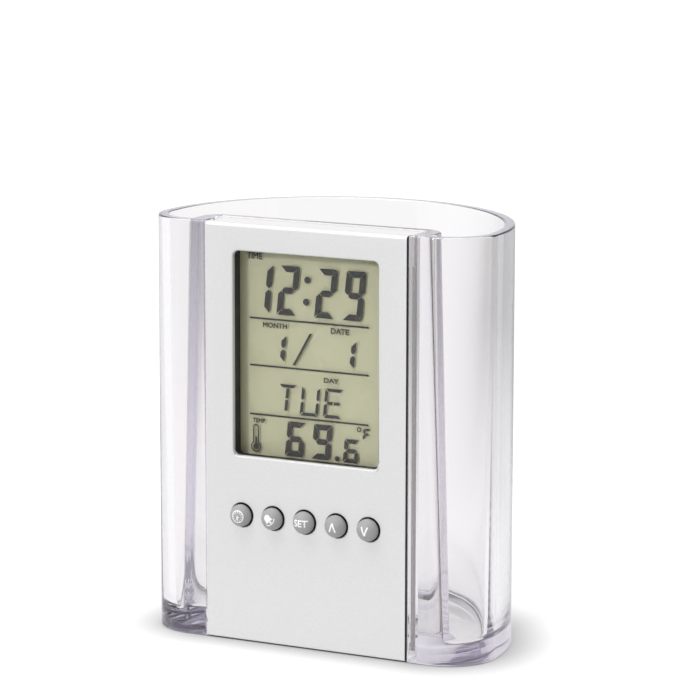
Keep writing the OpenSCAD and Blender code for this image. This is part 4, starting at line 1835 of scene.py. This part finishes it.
@dataclass
class Studio:
    """Camera, floor, world and lamps."""

    eye: Vector = field(default_factory=lambda: Vector((0.39815, -0.79980, 0.23752)))
    target: Vector = field(default_factory=lambda: Vector((0.01288, -0.02910, 0.07969)))
    roll: float = 0.12
    lens: float = 178.2
    sensor: float = 36.0
    clip: Point = (0.05, 50.0)
    floor_half: float = 6.0
    floor_drop: float = 0.05 * MM
    floor_roughness: float = 0.9
    glow: float = 0.45
    glow_through: float = 0.31
    shadow_reach: float = 15.0 * MM
    shadow_samples: int = 16
    sky: float = 0.3
    dark: float = 0.52
    fade: Point = (0.12, 0.45)
    bounces: int = 32

    def camera(self) -> None:
        """Place the camera at the photograph's viewing angle."""
        data = bpy.data.cameras.new("view_camera")
        data.lens = self.lens
        data.sensor_width = self.sensor
        data.clip_start, data.clip_end = self.clip
        camera = new_piece("view_camera", data)
        camera.location = self.eye
        aim = (self.target - self.eye).to_track_quat("-Z", "Y")
        camera.rotation_mode = "QUATERNION"
        camera.rotation_quaternion = aim @ Quaternion((0.0, 0.0, 1.0), math.radians(self.roll))
        bpy.context.scene.camera = camera

    def bent(self, bench: NodeBench) -> Socket:
        """Return 1 for rays that were mirrored or came through something clear."""
        ray = bench.add("ShaderNodeLightPath").outputs
        return bench.maths("MAXIMUM", ray["Is Glossy Ray"], ray["Is Transmission Ray"])

    def seen(self, bench: NodeBench) -> Socket:
        """Return 1 for rays that come straight from the camera."""
        return bench.add("ShaderNodeLightPath").outputs["Is Camera Ray"]

    def shine(self, bench: NodeBench) -> Socket:
        """Return the floor's own glow, which other light doesn't see."""
        direct = bench.maths("MULTIPLY", self.seen(bench), self.glow)
        return bench.maths("MAXIMUM", direct, bench.maths("MULTIPLY", self.bent(bench), self.glow_through))

    def surround(self, bench: NodeBench, way: Socket) -> Socket:
        """Return how bright the surround is in a direction.

        Args:
            bench: The bench of the floor or the world.
            way: The direction.

        Returns:
            The level, 1 where it is white.
        """
        node = bench.add("ShaderNodeGroup", node_tree=Effect.SURROUND.group())
        bench.feed(node.inputs["Vector"], way)
        bench.feed(node.inputs["Low"], self.dark)
        return node.outputs["Level"]

    def contact(self, bench: NodeBench) -> Socket:
        """Find the soft shadow that the object leaves on the floor close to its foot.

        Args:
            bench: The floor's bench.

        Returns:
            The share of light that is left, for rays from the camera.
        """
        reach = {"Distance": self.shadow_reach}
        near = bench.add("ShaderNodeAmbientOcclusion", reach, samples=self.shadow_samples)
        return bench.mix(self.seen(bench), 1.0, near.outputs["AO"])

    def floor(self) -> None:
        """Lay the pale floor, which also fills the background."""
        material = bpy.data.materials.new("floor_paper")
        bench = empty_bench(material)
        place = bench.add("ShaderNodeTexCoord").outputs["Object"]
        distance = bench.add("ShaderNodeVectorMath", {0: place}, operation="LENGTH").outputs["Value"]
        share = bench.maths("MULTIPLY", bench.ranged(distance, span=self.fade), self.bent(bench))
        level = bench.mix(share, 1.0, self.surround(bench, place))
        level = bench.maths("MULTIPLY", level, self.contact(bench))
        bench.output(bench.principled({
            "Base Color": bench.scaled(Tone.FLOOR.linear(), level),
            "Roughness": self.floor_roughness,
            "Emission Color": WHITE,
            "Emission Strength": bench.maths("MULTIPLY", self.shine(bench), level),
        }))
        half = self.floor_half
        plan = ((-half, -half), (half, -half), (half, half), (-half, half))
        shape = bmesh.new()
        shape.faces.new([shape.verts.new((x, y, -self.floor_drop)) for x, y in plan])
        floor = new_piece("floor", finish_mesh("floor", shape))
        floor.data.materials.append(material)
        floor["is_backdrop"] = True

    def world(self) -> None:
        """Light the object evenly, and let mirrored and bent rays see the surround."""
        world = bpy.data.worlds.new("studio")
        bpy.context.scene.world = world
        bench = empty_bench(world)
        way = bench.add("ShaderNodeTexCoord").outputs["Generated"]
        level = bench.mix(self.bent(bench), self.sky, self.surround(bench, way))
        light = {"Color": WHITE, "Strength": bench.mix(self.seen(bench), level, 1.0)}
        background = bench.add("ShaderNodeBackground", light)
        bench.add("ShaderNodeOutputWorld", {"Surface": background.outputs["Background"]})

    def lamp(self, name: str, way: Vector, spread: float, strength: float) -> None:
        """Add one soft lamp that lights the whole floor evenly.

        Args:
            name: Name of the lamp.
            way: Direction from the object to the lamp.
            spread: How wide the lamp looks, in degrees.
            strength: Its strength, where 1 lights a facing surface to its own colour.
        """
        data = bpy.data.lights.new(name, "SUN")
        data.angle = math.radians(spread)
        data.energy = strength * math.pi
        lamp = new_piece(name, data)
        lamp.rotation_mode = "QUATERNION"
        lamp.rotation_quaternion = (-way).to_track_quat("-Z", "Y")
        lamp.visible_transmission = False

    def light_paths(self) -> None:
        """Let rays cross every wall of the clear cup and every layer of the display."""
        for kind in ("max_bounces", "glossy_bounces", "transmission_bounces", "transparent_max_bounces"):
            setattr(bpy.context.scene.cycles, kind, self.bounces)

    def build(self) -> None:
        """Build the whole studio."""
        bpy.context.scene.view_settings.view_transform = "Standard"
        self.light_paths()
        self.camera()
        self.floor()
        self.world()
        self.lamp("key_lamp", Vector((-0.28, -0.85, 0.36)), spread=12.0, strength=0.48)
        self.lamp("top_lamp", Vector((-0.2, -0.1, 1.0)), spread=50.0, strength=0.72)


def dress_works() -> None:
    """Finish the CAD nodes whose shape stays."""
    finishes: dict[str, Finish] = {
        "lcd_frame": FINISHES.bezel,
        "lcd_polariser": FINISHES.polariser,
        "lcd_front_glass": FINISHES.glass,
        "lcd_segments": FINISHES.figures,
        "lcd_rear_glass": FINISHES.glass,
        "lcd_reflector": FINISHES.reflector,
        "zebra_strips": FINISHES.strips,
        "circuit_board": FINISHES.board,
        "chip_blob": FINISHES.black,
        "board_parts": FINISHES.parts,
        "quartz_crystal": FINISHES.steel,
        "thermistor": FINISHES.black,
        "buzzer_plate": FINISHES.brass,
        "buzzer_ceramic": FINISHES.ceramic,
        "buzzer_leads": FINISHES.lead,
        "keypad_sheet": FINISHES.rubber,
        "battery_cell": FINISHES.steel,
        "contact_positive": FINISHES.brass,
        "contact_negative": FINISHES.brass,
        "board_screws": FINISHES.steel,
    }
    for node, finish in finishes.items():
        dress(node, finish)


def write_sizes() -> None:
    """Gather the CAD box and the dressed model's box side by side, without keeping them."""
    boxes = {"cad": CAD_BOX, "visual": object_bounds()}
    {name: [list(corner) for corner in box] for name, box in boxes.items()}


def main() -> None:
    """Build the studio and then every sub-assembly in order."""
    logging.basicConfig(level=logging.INFO, format="%(name)s: %(message)s")
    Studio().build()
    ClearCup().build()
    ClockShell().build()
    ButtonRow().build()
    DisplayWords().build()
    dress_works()
    write_sizes()


if __name__ == "__main__":
    main()
